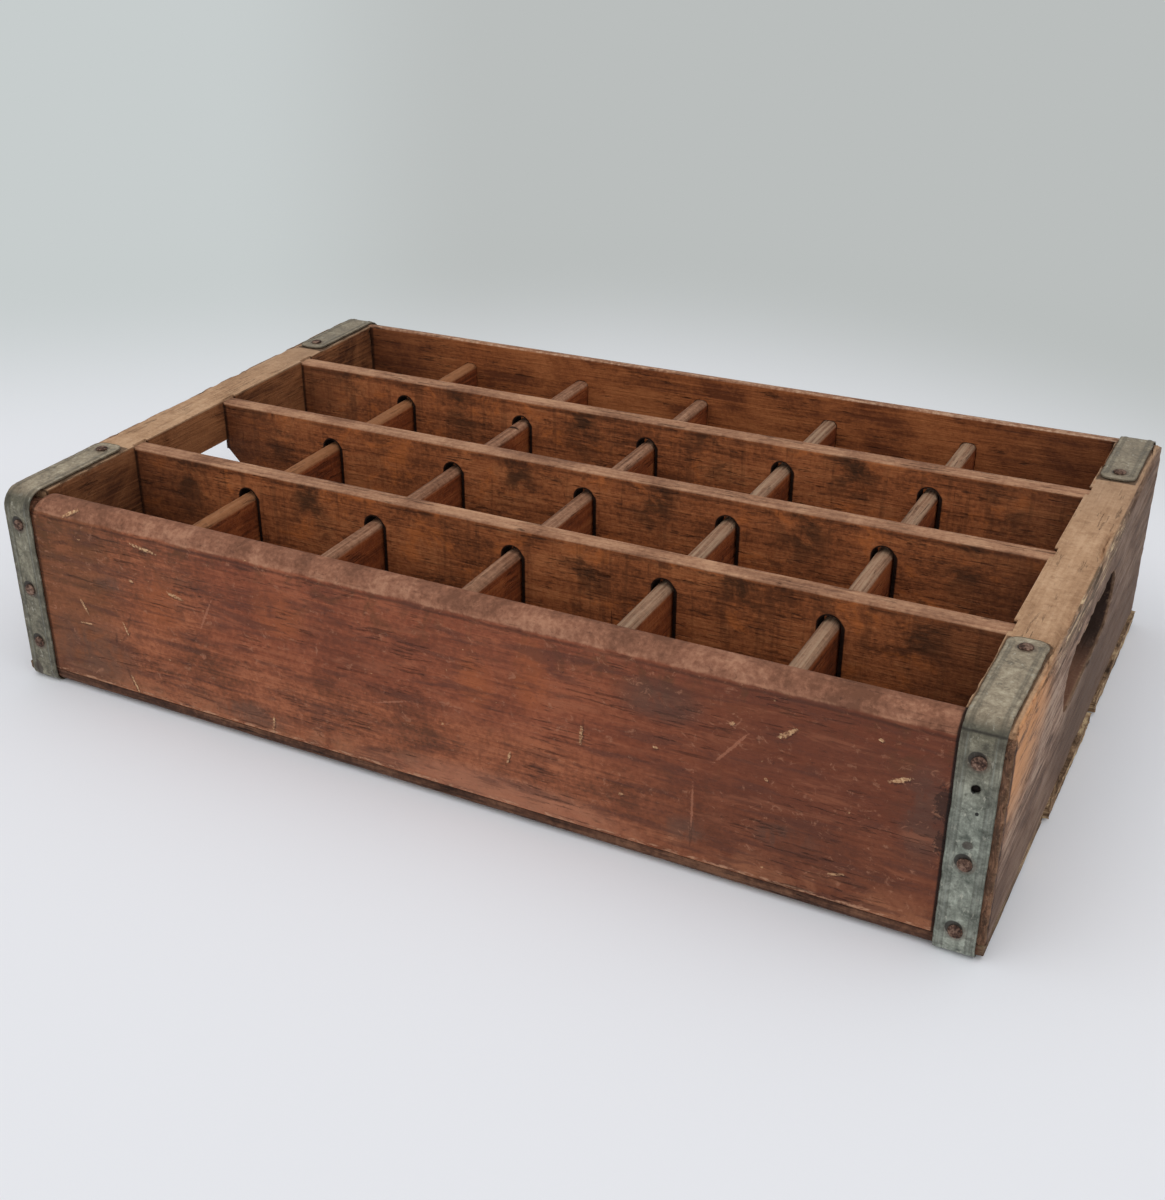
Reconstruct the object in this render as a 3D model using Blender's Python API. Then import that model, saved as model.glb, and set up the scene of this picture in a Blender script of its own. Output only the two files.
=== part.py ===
"""A wooden drink crate with twenty-four bottle cells, built the way a box shop builds it.

Two thick end boards carry the hand holes. The side boards sit in rabbets at their ends, three long
dividers stand in grooves in them, and five cross slats pass through slots in the dividers into
grooves in the side boards. Three bottom boards are nailed up from below, and a galvanised strap is
nailed round each of the four corners.

Lengths are in metres. X runs along the crate, Y from front to back and Z up. The crate stands on
the undersides of its straps at height zero.
"""

import math

import bmesh
import bpy
from mathutils import Matrix, Vector

# Cells
CELLS_LONG = 6
CELLS_ACROSS = 4
CELL_LENGTH = 0.0643
CELL_WIDTH = 0.0620

# Boards
WOOD_HEIGHT = 0.0974
END_BOARD_THICKNESS = 0.0206
SIDE_BOARD_THICKNESS = 0.0103
BOTTOM_BOARD_THICKNESS = 0.0063
DIVIDER_THICKNESS = 0.0092
SLAT_THICKNESS = 0.0080
FRONT_BOTTOM_BOARD_WIDTH = 0.0970
MIDDLE_BOTTOM_BOARD_WIDTH = 0.0860
FRONT_BOTTOM_GAP = 0.0025
BACK_BOTTOM_GAP = 0.0085
BOTTOM_BOARD_OVERHANG = 0.0020

# Edges
TOP_EDGE_ROUND = 0.0080
BOTTOM_EDGE_ROUND = 0.0040
BOARD_ARRIS_ROUND = 0.0010
SLAT_EDGE_ROUND = 0.0030
DIVIDER_EDGE_ROUND = 0.0012

# Joints
FIT_GAP = 0.0003
RABBET_LENGTH = 0.0133
END_GROOVE_DEPTH = 0.0015
SIDE_GROOVE_DEPTH = 0.0025
SLOT_SIDE_PLAY = 0.0009
DIVIDER_TOP_DROP = 0.0012
SLOT_CROWN_DROP = 0.0092
SLAT_CROWN_DROP = 0.0030

# Hand holes and the hand room cut out of the middle divider
HAND_HOLE_LENGTH = 0.1000
HAND_HOLE_HEIGHT = 0.0280
HAND_HOLE_CORNER_ROUND = 0.0135
HAND_HOLE_TOP_DROP = 0.0219
HAND_ROOM_TOP_DROP = 0.0273
HAND_ROOM_SLOPE_RUN = 0.0450

# Straps
STRAP_WIDTH = 0.0158
STRAP_THICKNESS = 0.0010
STRAP_CENTRE_OFFSET = 0.0008
STRAP_TIP_ROUND = 0.0050
STRAP_FRONT_TOP_ARM = 0.0671
STRAP_BACK_TOP_ARM = 0.0611
STRAP_UNDER_ARM = 0.0391
BEAD_HEIGHT = 0.00035
BEAD_WIDTH = 0.0024
BEAD_EDGE_INSET = 0.0013
BEAD_TAPER = 0.0030
BEAD_PLACE_SHARES = (0, 0.3, 0.7, 1)
BEAD_RISE_SHARES = (0, 1, 1, 0)
EMPTY_HOLE_RADIUS = 0.0015
EMPTY_HOLE_HEIGHT_SHARE = 0.746

# Nails
NAIL_SHANK_RADIUS = 0.0013
NAIL_HEAD_RADIUS = 0.0029
NAIL_HEAD_THICKNESS = 0.0009
NAIL_HEAD_FLAT_RADIUS = 0.0020
NAIL_HEAD_RIM_THICKNESS = 0.0005
NAIL_LENGTH = 0.0250
NAIL_POINT_LENGTH = 0.0030
FLUSH_HEAD_THICKNESS = 0.0005
EDGE_NAIL_SHANK_RADIUS = 0.0009
EDGE_NAIL_HEAD_RADIUS = 0.0020
NAIL_FIT_GAP = 0.0001
NAIL_TIP_INSET = 0.0080
UNDER_NAIL_OFFSET = 0.0035
FLUSH_HEAD_FLAT_SHARE = 0.5
RIGHT_FACE_NAIL_HEIGHT_SHARES = (0.855, 0.416, 0.110)
LEFT_FACE_NAIL_HEIGHT_SHARES = (0.845, 0.498, 0.207)
MIDDLE_BOARD_NAIL_SHARES = (0.22, 0.78)
EDGE_NAIL_PITCH_SHARES = (-1.5, -0.5, 0.5, 1.5)

# How finely curves are divided
ROUND_STEPS = 5
HAND_HOLE_STEPS = 6
SLOT_CROWN_STEPS = 10
STRAP_BEND_STEPS = 6
STRAP_TIP_STEPS = 5
NAIL_HEAD_SIDES = 12
HIDDEN_NAIL_SIDES = 8
SMOOTH_ANGLE = math.radians(40)
CUTTER_MARGIN = 0.0020

# Places that follow from the sizes above
CELL_PITCH_LONG = CELL_LENGTH + SLAT_THICKNESS
CELL_PITCH_ACROSS = CELL_WIDTH + DIVIDER_THICKNESS
INNER_HALF_LENGTH = (CELLS_LONG * CELL_PITCH_LONG - SLAT_THICKNESS) / 2
INNER_HALF_WIDTH = (CELLS_ACROSS * CELL_PITCH_ACROSS - DIVIDER_THICKNESS) / 2
OUTER_HALF_LENGTH = INNER_HALF_LENGTH + END_BOARD_THICKNESS
OUTER_HALF_WIDTH = INNER_HALF_WIDTH + SIDE_BOARD_THICKNESS
WOOD_BOTTOM = STRAP_THICKNESS + FIT_GAP
WOOD_TOP = WOOD_BOTTOM + WOOD_HEIGHT
WALL_BOTTOM = WOOD_BOTTOM + BOTTOM_BOARD_THICKNESS + FIT_GAP
DIVIDER_TOP = WOOD_TOP - DIVIDER_TOP_DROP
SLOT_TOP = DIVIDER_TOP - SLOT_CROWN_DROP
SLAT_TOP = SLOT_TOP - SLAT_CROWN_DROP
SLOT_WIDTH = SLAT_THICKNESS + 2 * SLOT_SIDE_PLAY
SIDE_BOARD_HALF_LENGTH = INNER_HALF_LENGTH + RABBET_LENGTH - FIT_GAP
DIVIDER_HALF_LENGTH = INNER_HALF_LENGTH + END_GROOVE_DEPTH - FIT_GAP
SLAT_HALF_LENGTH = INNER_HALF_WIDTH + SIDE_GROOVE_DEPTH - FIT_GAP
STRAP_CENTRE = INNER_HALF_LENGTH + END_BOARD_THICKNESS / 2 - STRAP_CENTRE_OFFSET
STRAP_OUTER_HALF_WIDTH = OUTER_HALF_WIDTH + FIT_GAP + STRAP_THICKNESS
STRAP_TOP = WOOD_TOP + FIT_GAP + STRAP_THICKNESS
STRAP_UNDER_TIP = OUTER_HALF_WIDTH - STRAP_UNDER_ARM
FRONT_BOARD_EDGE = FRONT_BOTTOM_BOARD_WIDTH - OUTER_HALF_WIDTH
MIDDLE_BOARD_START = FRONT_BOARD_EDGE + FRONT_BOTTOM_GAP
MIDDLE_BOARD_END = MIDDLE_BOARD_START + MIDDLE_BOTTOM_BOARD_WIDTH
BACK_BOARD_EDGE = MIDDLE_BOARD_END + BACK_BOTTOM_GAP

# Rounded edges, kept within the thickness of their boards
TOP_BEND_ROUND = min(TOP_EDGE_ROUND, SIDE_BOARD_THICKNESS - BOARD_ARRIS_ROUND - FIT_GAP)
BOTTOM_BEND_ROUND = min(BOTTOM_EDGE_ROUND, BOTTOM_BOARD_THICKNESS - FIT_GAP)

LEFT, RIGHT = -1, 1
FRONT, BACK = -1, 1
END_NAMES = {LEFT: "left", RIGHT: "right"}
SIDE_NAMES = {FRONT: "front", BACK: "back"}


# Outlines

def rounded(corners, steps=ROUND_STEPS):
    """The outline through corners given as (u, v, radius), with an arc in place of each rounded one."""
    outline = []
    count = len(corners)
    for index, (u, v, radius) in enumerate(corners):
        corner = Vector((u, v))
        if radius == 0:
            outline.append(tuple(corner))
            continue
        before = (Vector(corners[index - 1][:2]) - corner).normalized()
        after = (Vector(corners[(index + 1) % count][:2]) - corner).normalized()
        half_angle = before.angle(after) / 2
        centre = corner + (before + after).normalized() * radius / math.sin(half_angle)
        start = corner + before * radius / math.tan(half_angle) - centre
        turn = start.angle_signed(corner + after * radius / math.tan(half_angle) - centre)
        for step in range(steps + 1):
            outline.append(tuple(centre + Matrix.Rotation(-turn * step / steps, 2) @ start))
    return outline


def fillet(radius, wall):
    """The radius for both edges of a wall, kept within the wall's half thickness."""
    return min(radius, wall / 2 - FIT_GAP)


def arch(centre, half_width, bottom, top, steps=SLOT_CROWN_STEPS):
    """A slot outline, flat at the bottom and with a half-round crown."""
    outline = [(centre - half_width, bottom), (centre + half_width, bottom)]
    for step in range(steps + 1):
        angle = math.pi * step / steps
        height = top - half_width + half_width * math.sin(angle)
        outline.append((centre + half_width * math.cos(angle), height))
    return outline


# Solids

def finish_mesh(name, bm):
    """The object made of this mesh, closed, facing out and smooth over its curves only."""
    bmesh.ops.recalc_face_normals(bm, faces=bm.faces)
    for face in bm.faces:
        face.smooth = True
    for edge in bm.edges:
        edge.smooth = edge.calc_face_angle(0) < SMOOTH_ANGLE
    mesh = bpy.data.meshes.new(name)
    bm.to_mesh(mesh)
    bm.free()
    solid = bpy.data.objects.new(name, mesh)
    bpy.context.scene.collection.objects.link(solid)
    return solid


def placed(axis, along, point):
    """The point at (u, v) in the plane across this axis, at this distance along it."""
    u, v = point
    return {"X": (along, u, v), "Y": (u, along, v), "Z": (u, v, along)}[axis]


def add_prism(bm, outline, axis, start, end):
    """Adds the outline to the mesh as a solid running along this axis from start to end."""
    near = [bm.verts.new(placed(axis, start, point)) for point in outline]
    far = [bm.verts.new(placed(axis, end, point)) for point in outline]
    bm.faces.new(near)
    bm.faces.new(far)
    for index in range(len(outline)):
        after = (index + 1) % len(outline)
        bm.faces.new((near[index], near[after], far[after], far[index]))


def prism(name, outline, axis, start, end):
    bm = bmesh.new()
    add_prism(bm, outline, axis, start, end)
    return finish_mesh(name, bm)


def add_turned(bm, profile, sides, place):
    """Adds a solid turned about its own Z from (radius, height) pairs that start and end on the axis."""
    rings = []
    for radius, height in profile[1:-1]:
        ring = []
        for side in range(sides):
            angle = 2 * math.pi * side / sides
            point = Vector((radius * math.cos(angle), radius * math.sin(angle), height))
            ring.append(bm.verts.new(place @ point))
        rings.append(ring)
    first = bm.verts.new(place @ Vector((0, 0, profile[0][1])))
    last = bm.verts.new(place @ Vector((0, 0, profile[-1][1])))
    for side in range(sides):
        after = (side + 1) % sides
        bm.faces.new((first, rings[0][after], rings[0][side]))
        bm.faces.new((last, rings[-1][side], rings[-1][after]))
        for upper, lower in zip(rings, rings[1:]):
            bm.faces.new((upper[side], upper[after], lower[after], lower[side]))


def cut(solid, cutter):
    """Takes the cutter's shape out of the solid and hides the cutter."""
    cutter.hide_render = True
    cutter.display_type = "WIRE"
    modifier = solid.modifiers.new(cutter.name, "BOOLEAN")
    modifier.operation = "DIFFERENCE"
    modifier.solver = "EXACT"
    modifier.object = cutter


def cutter_of_prisms(name, prisms):
    """One cutter made of separate prisms, each given as (outline, axis, start, end)."""
    bm = bmesh.new()
    for outline, axis, start, end in prisms:
        add_prism(bm, outline, axis, start, end)
    return finish_mesh(name, bm)


# Materials

def linear(level):
    """A colour level from 0 to 255 as the shader wants it."""
    share = level / 255
    return share / 12.92 if share <= 0.04045 else ((share + 0.055) / 1.055) ** 2.4


def material(name, colour, metallic, roughness):
    made = bpy.data.materials.new(name)
    made.use_nodes = True
    shader = made.node_tree.nodes["Principled BSDF"]
    shader.inputs["Base Color"].default_value = (*map(linear, colour), 1)
    shader.inputs["Metallic"].default_value = metallic
    shader.inputs["Roughness"].default_value = roughness
    made.diffuse_color = (*map(linear, colour), 1)
    return made


def wood(solid, colour):
    solid.data.materials.append(material(solid.name + "_wood", colour, 0, 0.7))


def zinc(solid):
    solid.data.materials.append(material(solid.name + "_zinc", (125, 130, 120), 0.8, 0.55))


def rusty_steel(solid):
    solid.data.materials.append(material(solid.name + "_steel", (92, 62, 50), 0.5, 0.7))


RAW_WOOD = (158, 126, 96)
WEATHERED_RED_WOOD = (122, 78, 58)
BOTTOM_WOOD = (112, 82, 62)
DIVIDER_WOOD = (128, 82, 54)
SLAT_WOOD = (148, 112, 84)


# Nails

def nail_profile(shank_radius, head_radius, head_thickness, rim_thickness, flat_radius):
    """Head upwards, with the underside of the head at height zero."""
    return [
        (0, head_thickness),
        (flat_radius, head_thickness),
        (head_radius, rim_thickness),
        (head_radius, 0),
        (shank_radius, 0),
        (shank_radius, NAIL_POINT_LENGTH - NAIL_LENGTH),
        (0, -NAIL_LENGTH),
    ]


def hole_profile(shank_radius, head_radius, head_room):
    """Clear round a nail's shank and, where head room is given, round its sunk head too."""
    bottom = -NAIL_LENGTH - FIT_GAP
    if head_room == 0:
        return [
            (0, CUTTER_MARGIN),
            (shank_radius + NAIL_FIT_GAP, CUTTER_MARGIN),
            (shank_radius + NAIL_FIT_GAP, bottom),
            (0, bottom),
        ]
    return [
        (0, CUTTER_MARGIN),
        (head_radius + NAIL_FIT_GAP, CUTTER_MARGIN),
        (head_radius + NAIL_FIT_GAP, -NAIL_FIT_GAP),
        (shank_radius + NAIL_FIT_GAP, -NAIL_FIT_GAP),
        (shank_radius + NAIL_FIT_GAP, bottom),
        (0, bottom),
    ]


def nail_place(point, outward):
    """Turns a nail's own Z to point outwards and moves the underside of its head to the point."""
    turn = Vector((0, 0, 1)).rotation_difference(Vector(outward)).to_matrix().to_4x4()
    return Matrix.Translation(point) @ turn


class Nail:
    """One nail and the hole that the pieces it passes through need for it."""

    def __init__(self, name, seat, outward, shank_radius, head_radius, sunk):
        self.name = name
        self.sides = HIDDEN_NAIL_SIDES if sunk else NAIL_HEAD_SIDES
        thickness = FLUSH_HEAD_THICKNESS if sunk else NAIL_HEAD_THICKNESS
        rim = thickness if sunk else NAIL_HEAD_RIM_THICKNESS
        flat = head_radius * FLUSH_HEAD_FLAT_SHARE if sunk else NAIL_HEAD_FLAT_RADIUS
        rise = -thickness if sunk else NAIL_FIT_GAP
        self.place = nail_place(Vector(seat) + rise * Vector(outward), outward)
        self.profile = nail_profile(shank_radius, head_radius, thickness, rim, flat)
        self.hole = hole_profile(shank_radius, head_radius, thickness if sunk else 0)

    def build(self):
        bm = bmesh.new()
        add_turned(bm, self.profile, self.sides, self.place)
        rusty_steel(finish_mesh(self.name, bm))


def drill(solid, nails):
    """Cuts the nails' holes out of a piece that they pass through."""
    bm = bmesh.new()
    for nail in nails:
        add_turned(bm, nail.hole, nail.sides, nail.place)
    cut(solid, finish_mesh(solid.name + "_nail_holes", bm))


def strap_top_tip(side):
    """How far from the crate's middle a strap's top arm ends."""
    return OUTER_HALF_WIDTH - (STRAP_FRONT_TOP_ARM if side == FRONT else STRAP_BACK_TOP_ARM)


def strap_top_nail(end, side):
    seat = (end * STRAP_CENTRE, side * (strap_top_tip(side) + NAIL_TIP_INSET), STRAP_TOP)
    name = f"strap_top_nail_{SIDE_NAMES[side]}_{END_NAMES[end]}"
    return Nail(name, seat, (0, 0, 1), NAIL_SHANK_RADIUS, NAIL_HEAD_RADIUS, sunk=False)


def strap_under_nail(end, side):
    """It stands off the strap's centre line, clear of the lowest face nail's point."""
    seat = (end * (STRAP_CENTRE + UNDER_NAIL_OFFSET), side * (STRAP_UNDER_TIP + NAIL_TIP_INSET), 0)
    name = f"strap_under_nail_{SIDE_NAMES[side]}_{END_NAMES[end]}"
    return Nail(name, seat, (0, 0, -1), NAIL_SHANK_RADIUS, NAIL_HEAD_RADIUS, sunk=True)


def strap_face_nails(end, side):
    shares = RIGHT_FACE_NAIL_HEIGHT_SHARES if end == RIGHT else LEFT_FACE_NAIL_HEIGHT_SHARES
    nails = []
    for number, share in enumerate(shares, start=1):
        height = WOOD_BOTTOM + share * WOOD_HEIGHT
        seat = (end * STRAP_CENTRE, side * STRAP_OUTER_HALF_WIDTH, height)
        name = f"strap_face_nail_{SIDE_NAMES[side]}_{END_NAMES[end]}_{number}"
        nails.append(Nail(name, seat, (0, side, 0), NAIL_SHANK_RADIUS, NAIL_HEAD_RADIUS, sunk=False))
    return nails


def bottom_end_nail_places():
    """Two nails in the middle board, and one in each other board midway from its joint to the strap."""
    middle = [MIDDLE_BOARD_START + share * MIDDLE_BOTTOM_BOARD_WIDTH for share in MIDDLE_BOARD_NAIL_SHARES]
    front = (FRONT_BOARD_EDGE - STRAP_UNDER_TIP) / 2
    back = (BACK_BOARD_EDGE + STRAP_UNDER_TIP) / 2
    return [front, *middle, back]


def bottom_end_nails(end):
    nails = []
    for number, place in enumerate(bottom_end_nail_places(), start=1):
        seat = (end * STRAP_CENTRE, place, WOOD_BOTTOM)
        name = f"bottom_nail_{END_NAMES[end]}_{number}"
        nails.append(Nail(name, seat, (0, 0, -1), NAIL_SHANK_RADIUS, NAIL_HEAD_RADIUS, sunk=True))
    return nails


def bottom_edge_nails(side):
    nails = []
    for number, share in enumerate(EDGE_NAIL_PITCH_SHARES, start=1):
        seat = (share * CELL_PITCH_LONG, side * (INNER_HALF_WIDTH + SIDE_BOARD_THICKNESS / 2), WOOD_BOTTOM)
        name = f"bottom_nail_{SIDE_NAMES[side]}_{number}"
        nails.append(Nail(name, seat, (0, 0, -1), EDGE_NAIL_SHANK_RADIUS, EDGE_NAIL_HEAD_RADIUS, sunk=True))
    return nails


# Places of the dividers and slats

def divider_places():
    count = CELLS_ACROSS - 1
    return [CELL_PITCH_ACROSS * (index - (count - 1) / 2) for index in range(count)]


def slat_places():
    count = CELLS_LONG - 1
    return [CELL_PITCH_LONG * (index - (count - 1) / 2) for index in range(count)]


# End boards

def end_board_outline():
    return rounded([
        (-OUTER_HALF_WIDTH, WALL_BOTTOM, 0),
        (OUTER_HALF_WIDTH, WALL_BOTTOM, 0),
        (OUTER_HALF_WIDTH, WOOD_TOP, TOP_BEND_ROUND),
        (-OUTER_HALF_WIDTH, WOOD_TOP, TOP_BEND_ROUND),
    ])


def hand_hole_outline():
    half_length = HAND_HOLE_LENGTH / 2
    top = WOOD_TOP - HAND_HOLE_TOP_DROP
    bottom = top - HAND_HOLE_HEIGHT
    radius = fillet(HAND_HOLE_CORNER_ROUND, HAND_HOLE_HEIGHT)
    corners = [(-half_length, bottom), (half_length, bottom), (half_length, top), (-half_length, top)]
    return rounded([(*corner, radius) for corner in corners], HAND_HOLE_STEPS)


def rectangle(left, right, bottom, top):
    return [(left, bottom), (right, bottom), (right, top), (left, top)]


def end_board_joints(end):
    """Rabbets for the side boards and grooves for the dividers, as prisms to cut away."""
    bottom = WALL_BOTTOM - CUTTER_MARGIN
    top = WOOD_TOP + CUTTER_MARGIN
    inner = end * (INNER_HALF_LENGTH - CUTTER_MARGIN)
    prisms = []
    for side in (FRONT, BACK):
        shoulder = side * (INNER_HALF_WIDTH - FIT_GAP)
        outside = side * (OUTER_HALF_WIDTH + CUTTER_MARGIN)
        outline = rectangle(min(shoulder, outside), max(shoulder, outside), bottom, top)
        prisms.append((outline, "X", inner, end * (INNER_HALF_LENGTH + RABBET_LENGTH)))
    half_groove = DIVIDER_THICKNESS / 2 + FIT_GAP
    for place in divider_places():
        outline = rectangle(place - half_groove, place + half_groove, bottom, top)
        prisms.append((outline, "X", inner, end * (INNER_HALF_LENGTH + END_GROOVE_DEPTH)))
    return prisms


def end_board(end, nails):
    name = f"end_board_{END_NAMES[end]}"
    board = prism(name, end_board_outline(), "X", end * INNER_HALF_LENGTH, end * OUTER_HALF_LENGTH)
    cut(board, cutter_of_prisms(name + "_joints", end_board_joints(end)))
    hole_start = end * (INNER_HALF_LENGTH - CUTTER_MARGIN)
    hole_end = end * (OUTER_HALF_LENGTH + CUTTER_MARGIN)
    cut(board, prism(name + "_hand_hole", hand_hole_outline(), "X", hole_start, hole_end))
    drill(board, nails)
    wood(board, RAW_WOOD)


# Side boards

def side_board_outline(side):
    """The board's section, with its outer top edge rounded to the strap's bend."""
    outer = side * OUTER_HALF_WIDTH
    inner = side * INNER_HALF_WIDTH
    return rounded([
        (inner, WALL_BOTTOM, 0),
        (outer, WALL_BOTTOM, 0),
        (outer, WOOD_TOP, TOP_BEND_ROUND),
        (inner, WOOD_TOP, BOARD_ARRIS_ROUND),
    ])


def side_board_grooves(side):
    """Grooves for the slat ends, stopped just above the slats."""
    inside = side * (INNER_HALF_WIDTH - CUTTER_MARGIN)
    depth = side * (INNER_HALF_WIDTH + SIDE_GROOVE_DEPTH)
    bottom = WALL_BOTTOM - CUTTER_MARGIN
    crown = SLAT_TOP + FIT_GAP
    half_width = SLAT_THICKNESS / 2 + FIT_GAP
    prisms = []
    for place in slat_places():
        outline = rounded([
            (place - half_width, bottom, 0),
            (place + half_width, bottom, 0),
            (place + half_width, crown, fillet(SLAT_EDGE_ROUND, SLAT_THICKNESS)),
            (place - half_width, crown, fillet(SLAT_EDGE_ROUND, SLAT_THICKNESS)),
        ])
        prisms.append((outline, "Y", inside, depth))
    return prisms


def side_board(side, nails):
    name = f"side_board_{SIDE_NAMES[side]}"
    board = prism(name, side_board_outline(side), "X", -SIDE_BOARD_HALF_LENGTH, SIDE_BOARD_HALF_LENGTH)
    cut(board, cutter_of_prisms(name + "_grooves", side_board_grooves(side)))
    drill(board, nails)
    wood(board, WEATHERED_RED_WOOD)


# Bottom boards

def bottom_board_outline(front, back, front_round, back_round):
    top = WOOD_BOTTOM + BOTTOM_BOARD_THICKNESS
    return rounded([
        (front, WOOD_BOTTOM, front_round),
        (back, WOOD_BOTTOM, back_round),
        (back, top, 0),
        (front, top, 0),
    ])


def bottom_board(name, outline, half_length, nails):
    board = prism(name, outline, "X", -half_length, half_length)
    drill(board, nails)
    wood(board, BOTTOM_WOOD)


def bottom_boards(end_nails, edge_nails, under_nails):
    """The front board is sawn flush with the ends, and the other two stand a little past them."""
    long_half = OUTER_HALF_LENGTH + BOTTOM_BOARD_OVERHANG
    front_outline = bottom_board_outline(-OUTER_HALF_WIDTH, FRONT_BOARD_EDGE, BOTTOM_BEND_ROUND, 0)
    middle_outline = bottom_board_outline(MIDDLE_BOARD_START, MIDDLE_BOARD_END, 0, 0)
    back_outline = bottom_board_outline(BACK_BOARD_EDGE, OUTER_HALF_WIDTH, 0, BOTTOM_BEND_ROUND)
    front_end, *middle_end, back_end = zip(end_nails[LEFT], end_nails[RIGHT])
    front_nails = [*front_end, *edge_nails[FRONT], *under_nails[FRONT]]
    middle_nails = [nail for pair in middle_end for nail in pair]
    back_nails = [*back_end, *edge_nails[BACK], *under_nails[BACK]]
    bottom_board("bottom_board_front", front_outline, OUTER_HALF_LENGTH, front_nails)
    bottom_board("bottom_board_middle", middle_outline, long_half, middle_nails)
    bottom_board("bottom_board_back", back_outline, long_half, back_nails)


# Long dividers

def divider_outline(place):
    half = DIVIDER_THICKNESS / 2
    return rounded([
        (place - half, WALL_BOTTOM, 0),
        (place + half, WALL_BOTTOM, 0),
        (place + half, DIVIDER_TOP, fillet(DIVIDER_EDGE_ROUND, DIVIDER_THICKNESS)),
        (place - half, DIVIDER_TOP, fillet(DIVIDER_EDGE_ROUND, DIVIDER_THICKNESS)),
    ])


def divider_slots(place):
    """Slots with round crowns, open below, that let the divider drop over the cross slats."""
    near = place - DIVIDER_THICKNESS / 2 - CUTTER_MARGIN
    far = place + DIVIDER_THICKNESS / 2 + CUTTER_MARGIN
    bottom = WALL_BOTTOM - CUTTER_MARGIN
    return [(arch(slat, SLOT_WIDTH / 2, bottom, SLOT_TOP), "Y", near, far) for slat in slat_places()]


def hand_room(place, end):
    """The lower corner sawn off the middle divider behind a hand hole, so that fingers fit in."""
    near = place - DIVIDER_THICKNESS / 2 - CUTTER_MARGIN
    far = place + DIVIDER_THICKNESS / 2 + CUTTER_MARGIN
    past = end * (DIVIDER_HALF_LENGTH + CUTTER_MARGIN)
    face = end * INNER_HALF_LENGTH
    top = WOOD_TOP - HAND_ROOM_TOP_DROP
    bottom = WALL_BOTTOM - CUTTER_MARGIN
    run = min(HAND_ROOM_SLOPE_RUN, top - WALL_BOTTOM)
    foot = face - end * run
    outline = [(past, bottom), (past, top), (face, top), (foot, top - run), (foot, bottom)]
    return (outline, "Y", near, far)


def long_divider(number, place, with_hand_room):
    name = f"long_divider_{number}"
    divider = prism(name, divider_outline(place), "X", -DIVIDER_HALF_LENGTH, DIVIDER_HALF_LENGTH)
    cut(divider, cutter_of_prisms(name + "_slots", divider_slots(place)))
    if with_hand_room:
        rooms = [hand_room(place, end) for end in (LEFT, RIGHT)]
        cut(divider, cutter_of_prisms(name + "_hand_room", rooms))
    wood(divider, DIVIDER_WOOD)


def long_dividers():
    for number, place in enumerate(divider_places(), start=1):
        long_divider(number, place, with_hand_room=abs(place) < HAND_HOLE_LENGTH / 2)


# Cross slats

def cross_slat(number, place):
    half = SLAT_THICKNESS / 2
    outline = rounded([
        (place - half, WALL_BOTTOM, 0),
        (place + half, WALL_BOTTOM, 0),
        (place + half, SLAT_TOP, fillet(SLAT_EDGE_ROUND, SLAT_THICKNESS)),
        (place - half, SLAT_TOP, fillet(SLAT_EDGE_ROUND, SLAT_THICKNESS)),
    ])
    wood(prism(f"cross_slat_{number}", outline, "Y", -SLAT_HALF_LENGTH, SLAT_HALF_LENGTH), SLAT_WOOD)


def cross_slats():
    for number, place in enumerate(slat_places(), start=1):
        cross_slat(number, place)


# Straps

def strap_path(top_tip):
    """Points on the strap's inner face from top tip to under tip, each with its outward normal.

    A point is (distance out from the crate's middle, height, normal out, normal up, distance to a tip).
    """
    top_centre = (OUTER_HALF_WIDTH - TOP_BEND_ROUND, WOOD_TOP - TOP_BEND_ROUND)
    low_centre = (OUTER_HALF_WIDTH - BOTTOM_BEND_ROUND, WOOD_BOTTOM + BOTTOM_BEND_ROUND)
    top_bend = TOP_BEND_ROUND + FIT_GAP
    low_bend = BOTTOM_BEND_ROUND + FIT_GAP
    tip_steps = [STRAP_TIP_ROUND * (1 - math.cos(math.pi / 2 * step / STRAP_TIP_STEPS))
                 for step in range(STRAP_TIP_STEPS + 1)]
    tip_steps.append(STRAP_TIP_ROUND + BEAD_TAPER)
    path = [(top_tip + step, WOOD_TOP + FIT_GAP, 0, 1, step) for step in tip_steps]
    far = STRAP_TIP_ROUND + BEAD_TAPER
    for centre, bend, start_angle in ((top_centre, top_bend, math.pi / 2), (low_centre, low_bend, 0)):
        for step in range(STRAP_BEND_STEPS + 1):
            angle = start_angle - math.pi / 2 * step / STRAP_BEND_STEPS
            out = math.cos(angle)
            up = math.sin(angle)
            path.append((centre[0] + bend * out, centre[1] + bend * up, out, up, far))
    for step in reversed(tip_steps):
        path.append((STRAP_UNDER_TIP + step, WOOD_BOTTOM - FIT_GAP, 0, -1, step))
    return path


def strap_half_width(tip_distance):
    """Half the strap's width this far from a tip, whose corners are rounded."""
    if tip_distance >= STRAP_TIP_ROUND:
        return STRAP_WIDTH / 2
    short = STRAP_TIP_ROUND - tip_distance
    return STRAP_WIDTH / 2 - STRAP_TIP_ROUND + math.sqrt(STRAP_TIP_ROUND ** 2 - short ** 2)


def strap_columns():
    """Places across the strap as shares of its half width, each with its share of the bead height."""
    half = STRAP_WIDTH / 2
    left = [(-1, 0)]
    for place_share, rise_share in zip(BEAD_PLACE_SHARES, BEAD_RISE_SHARES):
        distance = BEAD_EDGE_INSET + place_share * BEAD_WIDTH
        left.append(((distance - half) / half, rise_share))
    right = [(-place, rise_share) for place, rise_share in reversed(left)]
    return left + right


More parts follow.
